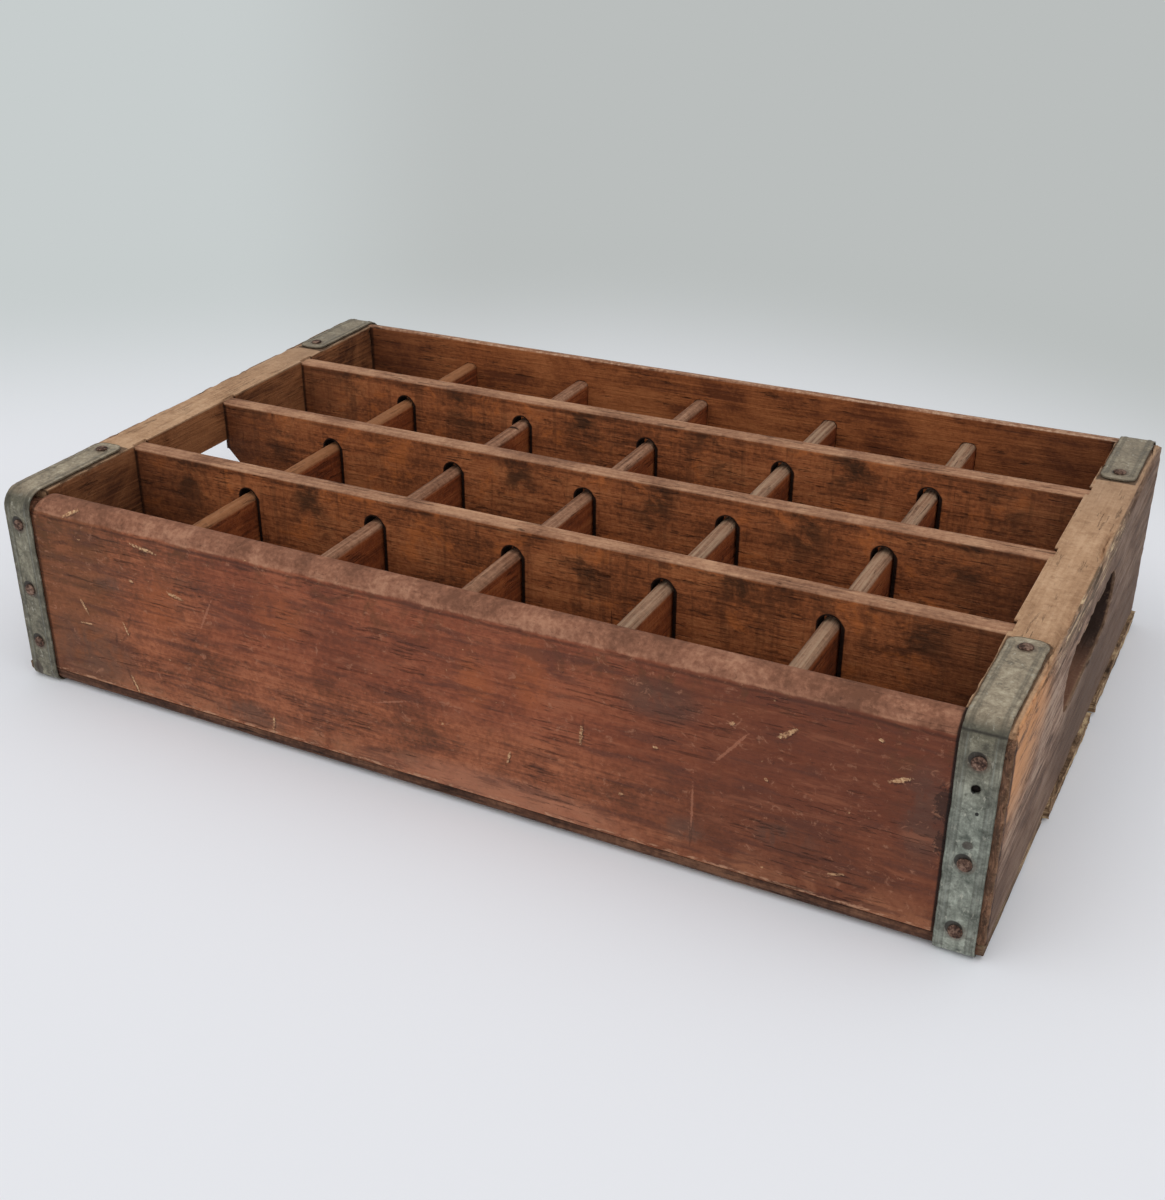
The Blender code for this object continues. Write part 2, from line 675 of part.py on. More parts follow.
def strap(end, side, nails):
    """A strip with two pressed beads, bent over the top edge, down the face and under the bottom."""
    bm = bmesh.new()
    outer_rows = []
    inner_rows = []
    for out, height, normal_out, normal_up, tip_distance in strap_path(strap_top_tip(side)):
        half_width = strap_half_width(tip_distance)
        on_beads = tip_distance >= STRAP_TIP_ROUND + BEAD_TAPER
        outer_row = []
        for place, bead_share in strap_columns():
            rise = STRAP_THICKNESS + (BEAD_HEIGHT * bead_share if on_beads and normal_up >= 0 else 0)
            x = end * STRAP_CENTRE + place * half_width
            y = side * (out + normal_out * rise)
            outer_row.append(bm.verts.new((x, y, height + normal_up * rise)))
        inner_row = []
        for place in (-1, 1):
            inner_row.append(bm.verts.new((end * STRAP_CENTRE + place * half_width, side * out, height)))
        outer_rows.append(outer_row)
        inner_rows.append(inner_row)
    for row in range(len(outer_rows) - 1):
        here, after = outer_rows[row], outer_rows[row + 1]
        inside, inside_after = inner_rows[row], inner_rows[row + 1]
        for column in range(len(here) - 1):
            bm.faces.new((here[column], here[column + 1], after[column + 1], after[column]))
        bm.faces.new((inside[0], inside[1], inside_after[1], inside_after[0]))
        bm.faces.new((here[0], after[0], inside_after[0], inside[0]))
        bm.faces.new((here[-1], after[-1], inside_after[1], inside[1]))
    for row in (0, -1):
        bm.faces.new((*outer_rows[row], inner_rows[row][1], inner_rows[row][0]))
    made = finish_mesh(f"strap_{SIDE_NAMES[side]}_{END_NAMES[end]}", bm)
    drill(made, nails)
    zinc(made)
    return made


def empty_nail_hole(made, end, side):
    """The hole that a lost nail has left in a strap's face."""
    height = WOOD_BOTTOM + EMPTY_HOLE_HEIGHT_SHARE * WOOD_HEIGHT
    place = nail_place((end * STRAP_CENTRE, side * STRAP_OUTER_HALF_WIDTH, height), (0, side, 0))
    depth = STRAP_THICKNESS + CUTTER_MARGIN
    profile = [(0, depth), (EMPTY_HOLE_RADIUS, depth), (EMPTY_HOLE_RADIUS, -depth), (0, -depth)]
    bm = bmesh.new()
    add_turned(bm, profile, HIDDEN_NAIL_SIDES, place)
    cut(made, finish_mesh(made.name + "_empty_hole", bm))


# The whole crate

def clear_scene():
    for thing in list(bpy.data.objects):
        bpy.data.objects.remove(thing)


def build_crate():
    ends = (LEFT, RIGHT)
    sides = (FRONT, BACK)
    corners = [(end, side) for end in ends for side in sides]
    top_nails = {corner: strap_top_nail(*corner) for corner in corners}
    face_nails = {corner: strap_face_nails(*corner) for corner in corners}
    under_nails = {corner: strap_under_nail(*corner) for corner in corners}
    end_nails = {end: bottom_end_nails(end) for end in ends}
    edge_nails = {side: bottom_edge_nails(side) for side in sides}

    for end in ends:
        nails = list(end_nails[end])
        for side in sides:
            nails += [top_nails[end, side], *face_nails[end, side], under_nails[end, side]]
        end_board(end, nails)
    for side in sides:
        nails = list(edge_nails[side])
        for end in ends:
            nails += face_nails[end, side]
        side_board(side, nails)
    under_by_side = {side: [under_nails[end, side] for end in ends] for side in sides}
    bottom_boards(end_nails, edge_nails, under_by_side)
    long_dividers()
    cross_slats()
    for end, side in corners:
        nails = [top_nails[end, side], *face_nails[end, side], under_nails[end, side]]
        made = strap(end, side, nails)
        if (end, side) == (RIGHT, FRONT):
            empty_nail_hole(made, end, side)

    for nail in [*top_nails.values(), *under_nails.values()]:
        nail.build()
    for group in [*face_nails.values(), *end_nails.values(), *edge_nails.values()]:
        for nail in group:
            nail.build()


clear_scene()
build_crate()
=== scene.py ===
"""The looks of a wooden drink crate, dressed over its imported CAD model.

Each board is a finely sliced copy of its CAD solid, with its edges and faces worn back by noise.
The straps are worn in the same way as sheet metal, and each nail is turned again with a domed,
rusty head. Wood, zinc and rust are node materials in the crate's own coordinates.

Lengths are in metres and places are in the crate's frame: X runs along it, Y from front to back
and Z up.
"""

import math
from dataclasses import dataclass

import bmesh
import bpy
from mathutils import Matrix, Vector, kdtree, noise

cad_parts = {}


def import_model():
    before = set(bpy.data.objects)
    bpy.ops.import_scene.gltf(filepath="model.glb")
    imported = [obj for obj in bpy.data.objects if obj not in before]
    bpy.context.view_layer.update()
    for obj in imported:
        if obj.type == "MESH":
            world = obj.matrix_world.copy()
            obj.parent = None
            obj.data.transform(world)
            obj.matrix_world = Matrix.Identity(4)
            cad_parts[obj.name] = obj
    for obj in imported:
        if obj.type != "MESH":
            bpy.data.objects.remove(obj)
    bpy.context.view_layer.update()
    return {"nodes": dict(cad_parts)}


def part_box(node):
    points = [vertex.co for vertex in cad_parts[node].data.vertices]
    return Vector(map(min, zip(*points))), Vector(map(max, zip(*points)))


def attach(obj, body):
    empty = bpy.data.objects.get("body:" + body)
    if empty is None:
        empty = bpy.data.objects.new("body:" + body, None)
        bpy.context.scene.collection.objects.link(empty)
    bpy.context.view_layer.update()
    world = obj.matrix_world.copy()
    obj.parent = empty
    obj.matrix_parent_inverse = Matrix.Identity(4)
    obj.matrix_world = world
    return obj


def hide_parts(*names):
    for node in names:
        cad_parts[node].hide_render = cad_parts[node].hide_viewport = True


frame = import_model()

X, Y, Z = 0, 1, 2

# Places read from the frame
FRONT_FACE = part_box("side_board_front")[0][Y]
FRONT_BOARD_MIDDLE = (FRONT_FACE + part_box("side_board_front")[1][Y]) / 2
END_INNER, END_FRONT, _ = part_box("end_board_right")[0]
END_OUTER, _, WOOD_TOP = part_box("end_board_right")[1]
DIVIDER_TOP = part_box("long_divider_1")[1][Z]
DIVIDER_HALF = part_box("long_divider_2")[1][Y]
DIVIDER_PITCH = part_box("long_divider_3")[1][Y] - DIVIDER_HALF
SIDE_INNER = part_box("side_board_back")[0][Y]
SLAT_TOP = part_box("cross_slat_1")[1][Z]
BOTTOM_END, _, BOTTOM_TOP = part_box("bottom_board_front")[1]
CELL_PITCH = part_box("cross_slat_2")[0][X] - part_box("cross_slat_1")[0][X]
STRAP_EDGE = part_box("strap_front_right")[0][X]
STRAP_CENTRE = (STRAP_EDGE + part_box("strap_front_right")[1][X]) / 2

# The camera, fitted to the photograph
CAMERA_PLACE = (0.30536, -0.62218, 0.38496)
CAMERA_AZIMUTH = -0.5287
CAMERA_ELEVATION = 0.4879
CAMERA_ROLL = -0.0288
CAMERA_LENS = 48.71
CAMERA_SENSOR = 36.0
CAMERA_SHIFT = (0.08244, 0.01595)

# Slicing and wear
MERGE_DISTANCE = 1e-6
FLAT_ANGLE = math.radians(1)
WORN_EDGE_ANGLE = math.radians(24)
SMOOTH_ANGLE = math.radians(42)
EDGE_STEP = 0.0007
SLICE_GAP = 0.00025
SLOT_Z = (0.012, 0.0900)
SIDE_GROOVE_TOP = 0.0870


def level(value):
    """A colour level from 0 to 255 as the shader wants it."""
    share = value / 255
    return share / 12.92 if share <= 0.04045 else ((share + 0.055) / 1.055) ** 2.4


def colour(red, green, blue):
    return (level(red), level(green), level(blue), 1)


# Node materials

PATCH_WAVES = 330
MARK_WAVES = 800
MARK_RAGGED = 1.3


class Graph:
    """A node tree, with short calls for making and joining its nodes."""

    def __init__(self, tree):
        self.nodes = tree.nodes
        self.links = tree.links

    def feed(self, socket, source):
        """Links the source to the socket, or sets the socket to it where it's a plain value."""
        if isinstance(source, bpy.types.NodeSocket):
            self.links.new(source, socket)
        else:
            socket.default_value = source

    def node(self, kind, *sources, **settings):
        """A new node with these settings, and with its first inputs fed by these sources."""
        made = self.nodes.new("ShaderNode" + kind)
        for name, value in settings.items():
            setattr(made, name, value)
        for socket, source in zip(made.inputs, sources):
            self.feed(socket, source)
        return made

    def maths(self, operation, *values):
        return self.node("Math", *values, operation=operation).outputs[0]

    def vector_maths(self, operation, *values):
        made = self.node("VectorMath", *values, operation=operation)
        return made.outputs["Value" if operation in ("LENGTH", "DISTANCE", "DOT_PRODUCT") else "Vector"]

    def seen_directly(self):
        """1 on camera, glossy and transmission rays, and 0 on the rays that light the object."""
        rays = self.node("LightPath").outputs
        mirrored = self.maths("MAXIMUM", rays["Is Glossy Ray"], rays["Is Transmission Ray"])
        return self.maths("MAXIMUM", rays["Is Camera Ray"], mirrored)


class Finish(Graph):
    """A material's node graph. Its base colour is painted coat by coat.

    A shade is a node's output or three colour levels from 0 to 255.
    """

    def __init__(self, name):
        self.material = bpy.data.materials.new(name)
        self.material.use_nodes = True
        super().__init__(self.material.node_tree)
        self.shader = self.nodes["Principled BSDF"]
        self.place = self.node("TexCoord").outputs["Object"]
        self.x, self.y, self.z = self.node("SeparateXYZ", self.place).outputs
        self.out = self.maths("ABSOLUTE", self.x)
        self.base = None
        self.rims = {}

    def noise(self, scales, detail=3.0, roughness=0.5, distortion=0.0):
        """Noise from 0 to 1 with this many waves to a metre along each axis."""
        made = self.node("TexNoise", self.vector_maths("MULTIPLY", self.place, scales))
        made.inputs["Scale"].default_value = 1
        made.inputs["Detail"].default_value = detail
        made.inputs["Roughness"].default_value = roughness
        made.inputs["Distortion"].default_value = distortion
        return made.outputs[0]

    def span(self, value, low, high, out_low=0.0, out_high=1.0):
        """The value's place between low and high, clamped and eased."""
        made = self.node("MapRange", value, low, high, out_low, out_high, interpolation_type="SMOOTHSTEP")
        return made.outputs[0]

    def times(self, *values):
        product = values[0]
        for value in values[1:]:
            product = self.maths("MULTIPLY", product, value)
        return product

    def tone(self, *parts):
        """Half, plus each noise's swing about half times its share."""
        total = 0.5 - sum(share for _, share in parts) / 2
        for value, share in parts:
            total = self.maths("MULTIPLY_ADD", value, share, total)
        return total

    def ramp(self, value, shades, low=0.34, high=0.66):
        """A shade from these three, which lie at low, halfway and high."""
        made = self.node("ValToRGB", value)
        elements = made.color_ramp.elements
        elements[0].position, elements[0].color = low, colour(*shades[0])
        elements[1].position, elements[1].color = high, colour(*shades[2])
        elements.new((low + high) / 2).color = colour(*shades[1])
        return made.outputs[0]

    def lay(self, base, shade, *masks):
        """The shade laid over the base as far as all the masks allow."""
        made = self.node("Mix", self.times(*masks), data_type="RGBA")
        for socket, part in ((made.inputs[6], base), (made.inputs[7], shade)):
            self.feed(socket, part if isinstance(part, bpy.types.NodeSocket) else colour(*part))
        return made.outputs[2]

    def coat(self, shade, *masks):
        """Lays the shade over the finish as far as all the masks allow."""
        self.base = self.lay(self.base, shade, *masks)

    def attribute(self, name):
        return self.node("Attribute", attribute_name=name).outputs["Fac"]

    def ragged(self, distance, amount, waves):
        """1 well inside a distance of 1 and 0 outside it, with a rim torn this many times to a metre."""
        if waves not in self.rims:
            self.rims[waves] = self.noise((waves, waves, waves), 4, 0.7)
        torn = self.maths("MULTIPLY_ADD", self.rims[waves], amount * 2, -amount)
        return self.span(self.maths("ADD", distance, torn), 1.0, 0.7)

    def spot(self, centre, reach, amount=0.5):
        """A ragged patch about the centre, as far as the reach along each axis."""
        offset = self.vector_maths("SUBTRACT", self.place, centre)
        shares = self.vector_maths("DIVIDE", offset, reach)
        return self.ragged(self.vector_maths("LENGTH", shares), amount, PATCH_WAVES)

    def glow(self, across, up, patch):
        """A soft round patch, given by its centre and its reach: 1 at its centre and 0 at its reach."""
        centre_across, centre_up, reach_across, reach_up = patch
        sideways = self.maths("DIVIDE", self.maths("SUBTRACT", across, centre_across), reach_across)
        upright = self.maths("DIVIDE", self.maths("SUBTRACT", up, centre_up), reach_up)
        square = self.maths("MULTIPLY_ADD", upright, upright, self.times(sideways, sideways))
        return self.span(square, 1.0, 0.0)

    def mark(self, centre_x, centre_z, length, height, slant):
        """A ragged mark on a face that stands along X, slanted by this angle."""
        cos, sin = math.cos(slant), math.sin(slant)
        right = self.maths("SUBTRACT", self.x, centre_x)
        rise = self.maths("SUBTRACT", self.z, centre_z)
        run = self.maths("MULTIPLY_ADD", right, cos / length, self.times(rise, sin / length))
        climb = self.maths("MULTIPLY_ADD", right, -sin / height, self.times(rise, cos / height))
        square = self.maths("MULTIPLY_ADD", run, run, self.times(climb, climb))
        return self.ragged(self.maths("SQRT", square), MARK_RAGGED, MARK_WAVES)

    def nearest(self, points):
        """The distance to the nearest of these points."""
        least = None
        for point in points:
            distance = self.vector_maths("DISTANCE", self.place, tuple(point))
            least = distance if least is None else self.maths("MINIMUM", least, distance)
        return least

    def slab(self, value, low, high, soft):
        """1 where the value lies between low and high, with soft edges."""
        rising = self.span(value, low - soft, low + soft)
        return self.times(rising, self.span(value, high + soft, high - soft))

    def dull(self, roughness, height, depth, specular=0.2, metallic=0.0):
        """Joins the base colour, roughness and bump to the shader."""
        bump = self.node("Bump")
        bump.inputs["Distance"].default_value = depth
        self.feed(bump.inputs["Height"], height)
        self.feed(self.shader.inputs["Normal"], bump.outputs[0])
        self.feed(self.shader.inputs["Base Color"], self.base)
        self.feed(self.shader.inputs["Roughness"], roughness)
        self.shader.inputs["Specular IOR Level"].default_value = specular
        self.shader.inputs["Metallic"].default_value = metallic
        return self.material


def along(axis, grain, across):
    """Noise scales for wood whose grain runs along this axis."""
    scales = [across, across, across]
    scales[axis] = grain
    return tuple(scales)


CRACK_SHADE = (30, 16, 10)


class WoodGrain:
    """The noises that every wood finish here is mixed from."""

    def __init__(self, finish, axis):
        self.fibre = finish.noise(along(axis, 18, 620), 4, 0.7, 0.1)
        self.streak = finish.noise(along(axis, 7, 120), 4, 0.62, 0.25)
        self.blotch = finish.noise(along(axis, 26, 40), 5, 0.66, 0.5)
        self.speck = finish.noise((420, 420, 420), 3, 0.68)
        dashes = finish.noise(along(axis, 60, 900), 2, 0.6, 0.4)
        patches = finish.noise(along(axis, 30, 55), 3, 0.6)
        self.cracks = finish.times(finish.span(dashes, 0.60, 0.66), finish.span(patches, 0.48, 0.60))
        self.shallow = 1.0


def wood(name, axis, shades, shares, cracked, worn, rubbed, paint):
    """A wood finish.

    shades run from dark to pale. shares say how strongly fibre, streak, blotch and speck show.
    cracked and rubbed say how strongly cracks and rubbed edges show. paint(finish, grain) lays
    stains, painted shade and painted shadows over the bare wood.
    """
    finish = Finish(name)
    grain = WoodGrain(finish, axis)
    noises = (grain.fibre, grain.streak, grain.blotch, grain.speck)
    finish.base = finish.ramp(finish.tone(*zip(noises, shares)), shades)
    paint(finish, grain)
    finish.coat(CRACK_SHADE, grain.cracks, grain.shallow, cracked)
    wear = finish.attribute("wear")
    bared = finish.maths("MULTIPLY_ADD", grain.fibre, 0.7, wear)
    finish.coat(worn, finish.span(bared, 0.95, 1.35), rubbed)
    finish.coat(shades[2], finish.span(grain.speck, 0.58, 0.66), wear, rubbed)
    finish.coat(shades[0], finish.span(grain.speck, 0.42, 0.35), wear, rubbed)
    grooved = finish.times(grain.fibre, grain.shallow)
    height = finish.maths("MULTIPLY_ADD", grooved, 0.7, finish.times(grain.speck, 0.5))
    height = finish.maths("MULTIPLY_ADD", grain.cracks, finish.times(grain.shallow, -0.9), height)
    rough = finish.span(grain.streak, 0.3, 0.7, 0.66, 0.84)
    return finish.dull(rough, height, 0.0008)


# Marks on the front board: places along X and Z, half length, half height, slant

FRONT_CHIPS = (
    (-0.1910, 0.0948, 0.0062, 0.0014, 0.45),
    (-0.1480, 0.0862, 0.0085, 0.0015, -0.15),
    (-0.1580, 0.0680, 0.0015, 0.0013, 0.0),
    (-0.1330, 0.0660, 0.0070, 0.0013, -0.2),
    (-0.1900, 0.0480, 0.0055, 0.0013, -1.1),
    (-0.1900, 0.0388, 0.0050, 0.0008, 0.05),
    (-0.0838, 0.0130, 0.0060, 0.0011, 1.45),
    (-0.1645, 0.0122, 0.0061, 0.0011, -1.15),
    (-0.1655, 0.0410, 0.0042, 0.0008, -1.2),
    (0.0700, 0.0515, 0.0052, 0.0014, 1.5),
    (0.0370, 0.0310, 0.0038, 0.0010, 1.3),
    (0.0880, 0.0290, 0.0016, 0.0013, 0.0),
    (0.1020, 0.0550, 0.0016, 0.0010, 0.0),
    (0.1325, 0.0745, 0.0018, 0.0010, 0.6),
    (0.1540, 0.0762, 0.0055, 0.0018, 0.7),
    (0.1470, 0.0540, 0.0013, 0.0010, -0.8),
    (0.1880, 0.0832, 0.0011, 0.0010, 0.0),
    (0.1960, 0.0688, 0.0054, 0.0016, 0.45),
    (0.1760, 0.0205, 0.0050, 0.0009, 0.3),
)
FRONT_SCRATCHES = (
    (-0.1165, 0.0600, 0.0115, 0.0006, 1.1),
    (0.1330, 0.0640, 0.0120, 0.0007, 0.9),
    (0.1180, 0.0330, 0.0130, 0.0006, 1.57),
    (-0.0200, 0.0420, 0.0100, 0.0005, 0.3),
)
FRONT_SCARS = (
    (-0.1630, 0.0460, 0.0060, 0.0009, 1.2),
    (-0.1660, 0.0375, 0.0044, 0.0008, 0.8),
    (-0.1725, 0.0345, 0.0036, 0.0007, 1.4),
    (-0.1665, 0.0150, 0.0070, 0.0009, -1.2),
    (-0.1635, 0.0090, 0.0050, 0.0008, -1.0),
    (-0.1990, 0.0790, 0.0060, 0.0012, 0.2),
    (0.0708, 0.0540, 0.0060, 0.0009, 1.5),
    (0.1180, 0.0200, 0.0060, 0.0008, 1.55),
    (0.1150, 0.0760, 0.0060, 0.0012, 0.1),
)
FRONT_STAINS = (
    (0.2120, 0.0630, 0.0090, 0.0032, 1.57),
    (0.2125, 0.0470, 0.0055, 0.0022, 1.57),
)
# Soft patches: places along X and Z, and reaches along each
FRONT_GLOWS = (
    (-0.1440, 0.0600, 0.0200, 0.0200),
    (-0.0760, 0.0700, 0.0180, 0.0160),
    (0.0220, 0.0640, 0.0110, 0.0180),
    (0.0480, 0.0740, 0.0100, 0.0240),
)
FRONT_SHADES = (
    (-0.1720, 0.0640, 0.0130, 0.0050),
    (-0.1900, 0.0250, 0.0350, 0.0220),
    (-0.0950, 0.0150, 0.0250, 0.0080),
    (0.1030, 0.0760, 0.0220, 0.0120),
    (0.1180, 0.0210, 0.0160, 0.0080),
    (0.1560, 0.0300, 0.0160, 0.0080),
    (0.2060, 0.0560, 0.0120, 0.0280),
)
PALE_STRIP = (0.030, 0.012, 0.075, 0.012)
# Where a coat starts and where it's full, along X or Z
BROWNER_X = (-0.155, -0.185)
REDDER_X = (-0.135, -0.100)
REDDER_Z = (0.030, 0.055)
DEEP_RED_X = (0.050, 0.150)
PALE_FOOT_Z = (0.026, 0.009)
DARK_BAND_Z = (0.060, 0.088)
BARE_TOP_Z = (WOOD_TOP - 0.0059, WOOD_TOP - 0.0041)
SMOOTH_TOP_Z = (WOOD_TOP - 0.0052, WOOD_TOP - 0.0082)
# Lines along the board: from and to
TOP_LINE_Z = (WOOD_TOP - 0.0073, WOOD_TOP - 0.0061)
TOP_CREST_Z = (WOOD_TOP - 0.0049, WOOD_TOP - 0.0041)
FRAYED_Z = (BOTTOM_TOP + 0.0005, BOTTOM_TOP + 0.0018)
TOP_WAVE = 0.0024
# How much of its table's length and height a chip has, and its torn wood of that height
CHIP_LENGTH_SHARE = 0.85
CHIP_HEIGHT_SHARE = 0.8
TORN_HEIGHT_SHARE = 0.8
CHIP_SHADOW = 0.0004
# An empty nail hole that goes through the strap into the wood, painted black inside as shadow
EMPTY_HOLE = (STRAP_CENTRE, FRONT_FACE, 0.0740)
EMPTY_HOLE_REACH = (0.0026, 0.0060, 0.0030)


def front_board_marks(finish, cloud):
    """Stains, scars, scratches, torn chips with painted shadows, small scuffs, and painted shadow in the
    gaps beside the straps and in an empty nail hole.
    """
    x, coat, span = finish.x, finish.coat, finish.span
    outside = span(finish.y, FRONT_BOARD_MIDDLE + 0.0005, FRONT_BOARD_MIDDLE - 0.0005)
    for stain in FRONT_STAINS:
        coat((48, 32, 27), finish.mark(*stain), outside, 0.7)
    for scar in FRONT_SCARS:
        coat((56, 34, 27), finish.mark(*scar), outside, 0.38)
    for scratch in FRONT_SCRATCHES:
        coat((170, 114, 88), finish.mark(*scratch), outside, 0.5)
    torn = finish.ramp(finish.noise((700, 700, 1100), 3, 0.7),
                       ((122, 80, 58), (188, 144, 106), (222, 186, 142)), 0.38, 0.62)
    for centre_x, centre_z, half_length, half_height, slant in FRONT_CHIPS:
        length = half_length * CHIP_LENGTH_SHARE
        height = half_height * CHIP_HEIGHT_SHARE
        shadow = finish.mark(centre_x + CHIP_SHADOW, centre_z - CHIP_SHADOW, length, height, slant)
        coat((52, 31, 24), shadow, outside, 0.55)
        torn_height = height * TORN_HEIGHT_SHARE
        coat(torn, finish.mark(centre_x, centre_z, length, torn_height, slant), outside, 0.8)
    scuffs = span(finish.noise((210, 0, 260), 5, 0.75, 0.8), 0.56, 0.66)
    coat((164, 114, 88), scuffs, span(cloud, 0.40, 0.54), outside, 0.5)
    pecks = span(finish.noise((380, 0, 520), 4, 0.7, 0.4), 0.39, 0.33)
    coat((62, 38, 30), pecks, outside, 0.4)
    sparks = span(finish.noise((260, 0, 330), 2, 0.5), 0.74, 0.78)
    coat((200, 158, 116), sparks, outside, 0.6)
    # Painted shadow where the strap stands off the board, stronger on the right
    gap_shadow = finish.slab(finish.out, STRAP_EDGE - 0.0011, STRAP_EDGE + 0.0012, 0.0004)
    coat((20, 12, 9), gap_shadow, span(x, -0.1, 0.1, 0.5, 0.9))
    # Painted shadow: the wood inside the empty nail hole is black
    coat((12, 8, 6), finish.spot(EMPTY_HOLE, EMPTY_HOLE_REACH, 0), 0.97)


def front_board_paint(finish, grain):
    """Worn stain: browner by the left strap, redder on the right, paler low down, and scarred."""
    x, z = finish.x, finish.z
    coat, span = finish.coat, finish.span
    cloud = finish.noise((60, 0, 44), 5, 0.68, 0.6)
    coat((110, 71, 45), span(x, *BROWNER_X), 0.55)
    redder = finish.times(span(x, *REDDER_X), span(z, *REDDER_Z))
    coat((122, 58, 41), redder, 0.38)
    coat((96, 51, 35), span(x, *DEEP_RED_X), 0.70)
    coat((162, 108, 78), span(z, *PALE_FOOT_Z), span(cloud, 0.38, 0.62), 0.5)
    coat((168, 114, 90), finish.glow(x, z, PALE_STRIP), 0.55)
    coat((86, 56, 34), span(z, *DARK_BAND_Z), span(cloud, 0.50, 0.66), 0.60)
    coat((94, 56, 38), span(cloud, 0.44, 0.30), 0.45)
    for patch in FRONT_GLOWS:
        coat((158, 88, 52), finish.glow(x, z, patch), span(cloud, 0.30, 0.56), 0.5)
    for patch in FRONT_SHADES:
        coat((88, 66, 56), finish.glow(x, z, patch), span(cloud, 0.36, 0.54), 0.6)
    wavy = finish.maths("MULTIPLY_ADD", cloud, TOP_WAVE, z)
    coat((62, 36, 27), finish.slab(wavy, *TOP_LINE_Z, 0.0006), 0.6)
    top = span(wavy, *BARE_TOP_Z)
    grain.shallow = span(z, *SMOOTH_TOP_Z, 0.3, 1.0)
    drifts = finish.noise((26, 0, 150), 4, 0.66, 0.5)
    coat((84, 50, 40), span(drifts, 0.50, 0.64), 0.55)
    coat((150, 92, 66), span(drifts, 0.46, 0.32), 0.40)
    bare = finish.ramp(finish.tone((grain.speck, 0.55), (grain.blotch, 0.9), (cloud, 0.5)),
                       ((108, 71, 53), (136, 92, 71), (165, 120, 95)))
    coat(bare, top, 0.92)
    crest = finish.slab(wavy, *TOP_CREST_Z, 0.0005)
    coat((178, 130, 102), crest, span(cloud, 0.42, 0.58), 0.5)
    pits = span(finish.noise((160, 500, 560), 4, 0.7), 0.39, 0.32)
    coat((96, 63, 50), pits, top, 0.2)
    frayed = span(finish.noise((150, 0, 520), 4, 0.7), 0.47, 0.58)
    coat((190, 146, 116), finish.slab(z, *FRAYED_Z, 0.0005), frayed, 0.7)
    front_board_marks(finish, cloud)


BACK_DARK_X = (0.130, 0.210)


def back_board_paint(finish, grain):
    """Darker towards both ends, and rubbed bare along the top."""
    finish.coat((66, 38, 26), finish.span(finish.out, *BACK_DARK_X), 0.45)
    finish.coat((28, 17, 12), finish.span(finish.out, END_INNER - 0.0020, END_INNER - 0.0006), 0.7)
    bare = finish.ramp(finish.tone((grain.fibre, 0.6), (grain.speck, 0.6)),
                       ((110, 76, 58), (160, 120, 94), (206, 176, 150)))
    finish.coat(bare, finish.span(finish.z, WOOD_TOP - 0.0012, WOOD_TOP - 0.0004), 0.8)


SLOT_TOP = 0.0883
SLOT_HALF_WIDTH = 0.0049
# How far the painted shadow reaches beyond each slot, and how much further on its right
SLOT_SHADOW = 0.0007
SLOT_SHADOW_RIGHT = 0.0009
LAST_SLOT = 0.190
SMUDGE_Z = (0.058, 0.090)
DRIP_Z = (0.030, 0.080)
DEEP_Z = (0.075, 0.03)
DIVIDER_END_SHADE_X = (0.160, 0.212)
CHECKED_X = (-0.12, 0.02)


def slot_shadow_mask(finish, from_slot, phase):
    """1 on the walls and the rim of every slot, painted black there as shadow in the gaps about the slats,
    most of all on the right.
    """
    rise = finish.maths("MAXIMUM", finish.maths("SUBTRACT", finish.z, SLOT_TOP - SLOT_HALF_WIDTH), 0.0)
    square = finish.maths("MULTIPLY_ADD", rise, rise, finish.times(from_slot, from_slot))
    right = finish.times(finish.span(phase, 0.5, 0.45), finish.span(rise, 0.0030, 0.0))
    # The painted shadow reaches further on the right side of each slot
    stained_and_shaded = finish.maths("MULTIPLY_ADD", right, -SLOT_SHADOW_RIGHT, finish.maths("SQRT", square))
    reach = SLOT_HALF_WIDTH + SLOT_SHADOW
    rim = finish.span(stained_and_shaded, reach + 0.0003, reach - 0.0003)
    return finish.times(rim, finish.span(finish.out, LAST_SLOT, LAST_SLOT - 0.005))


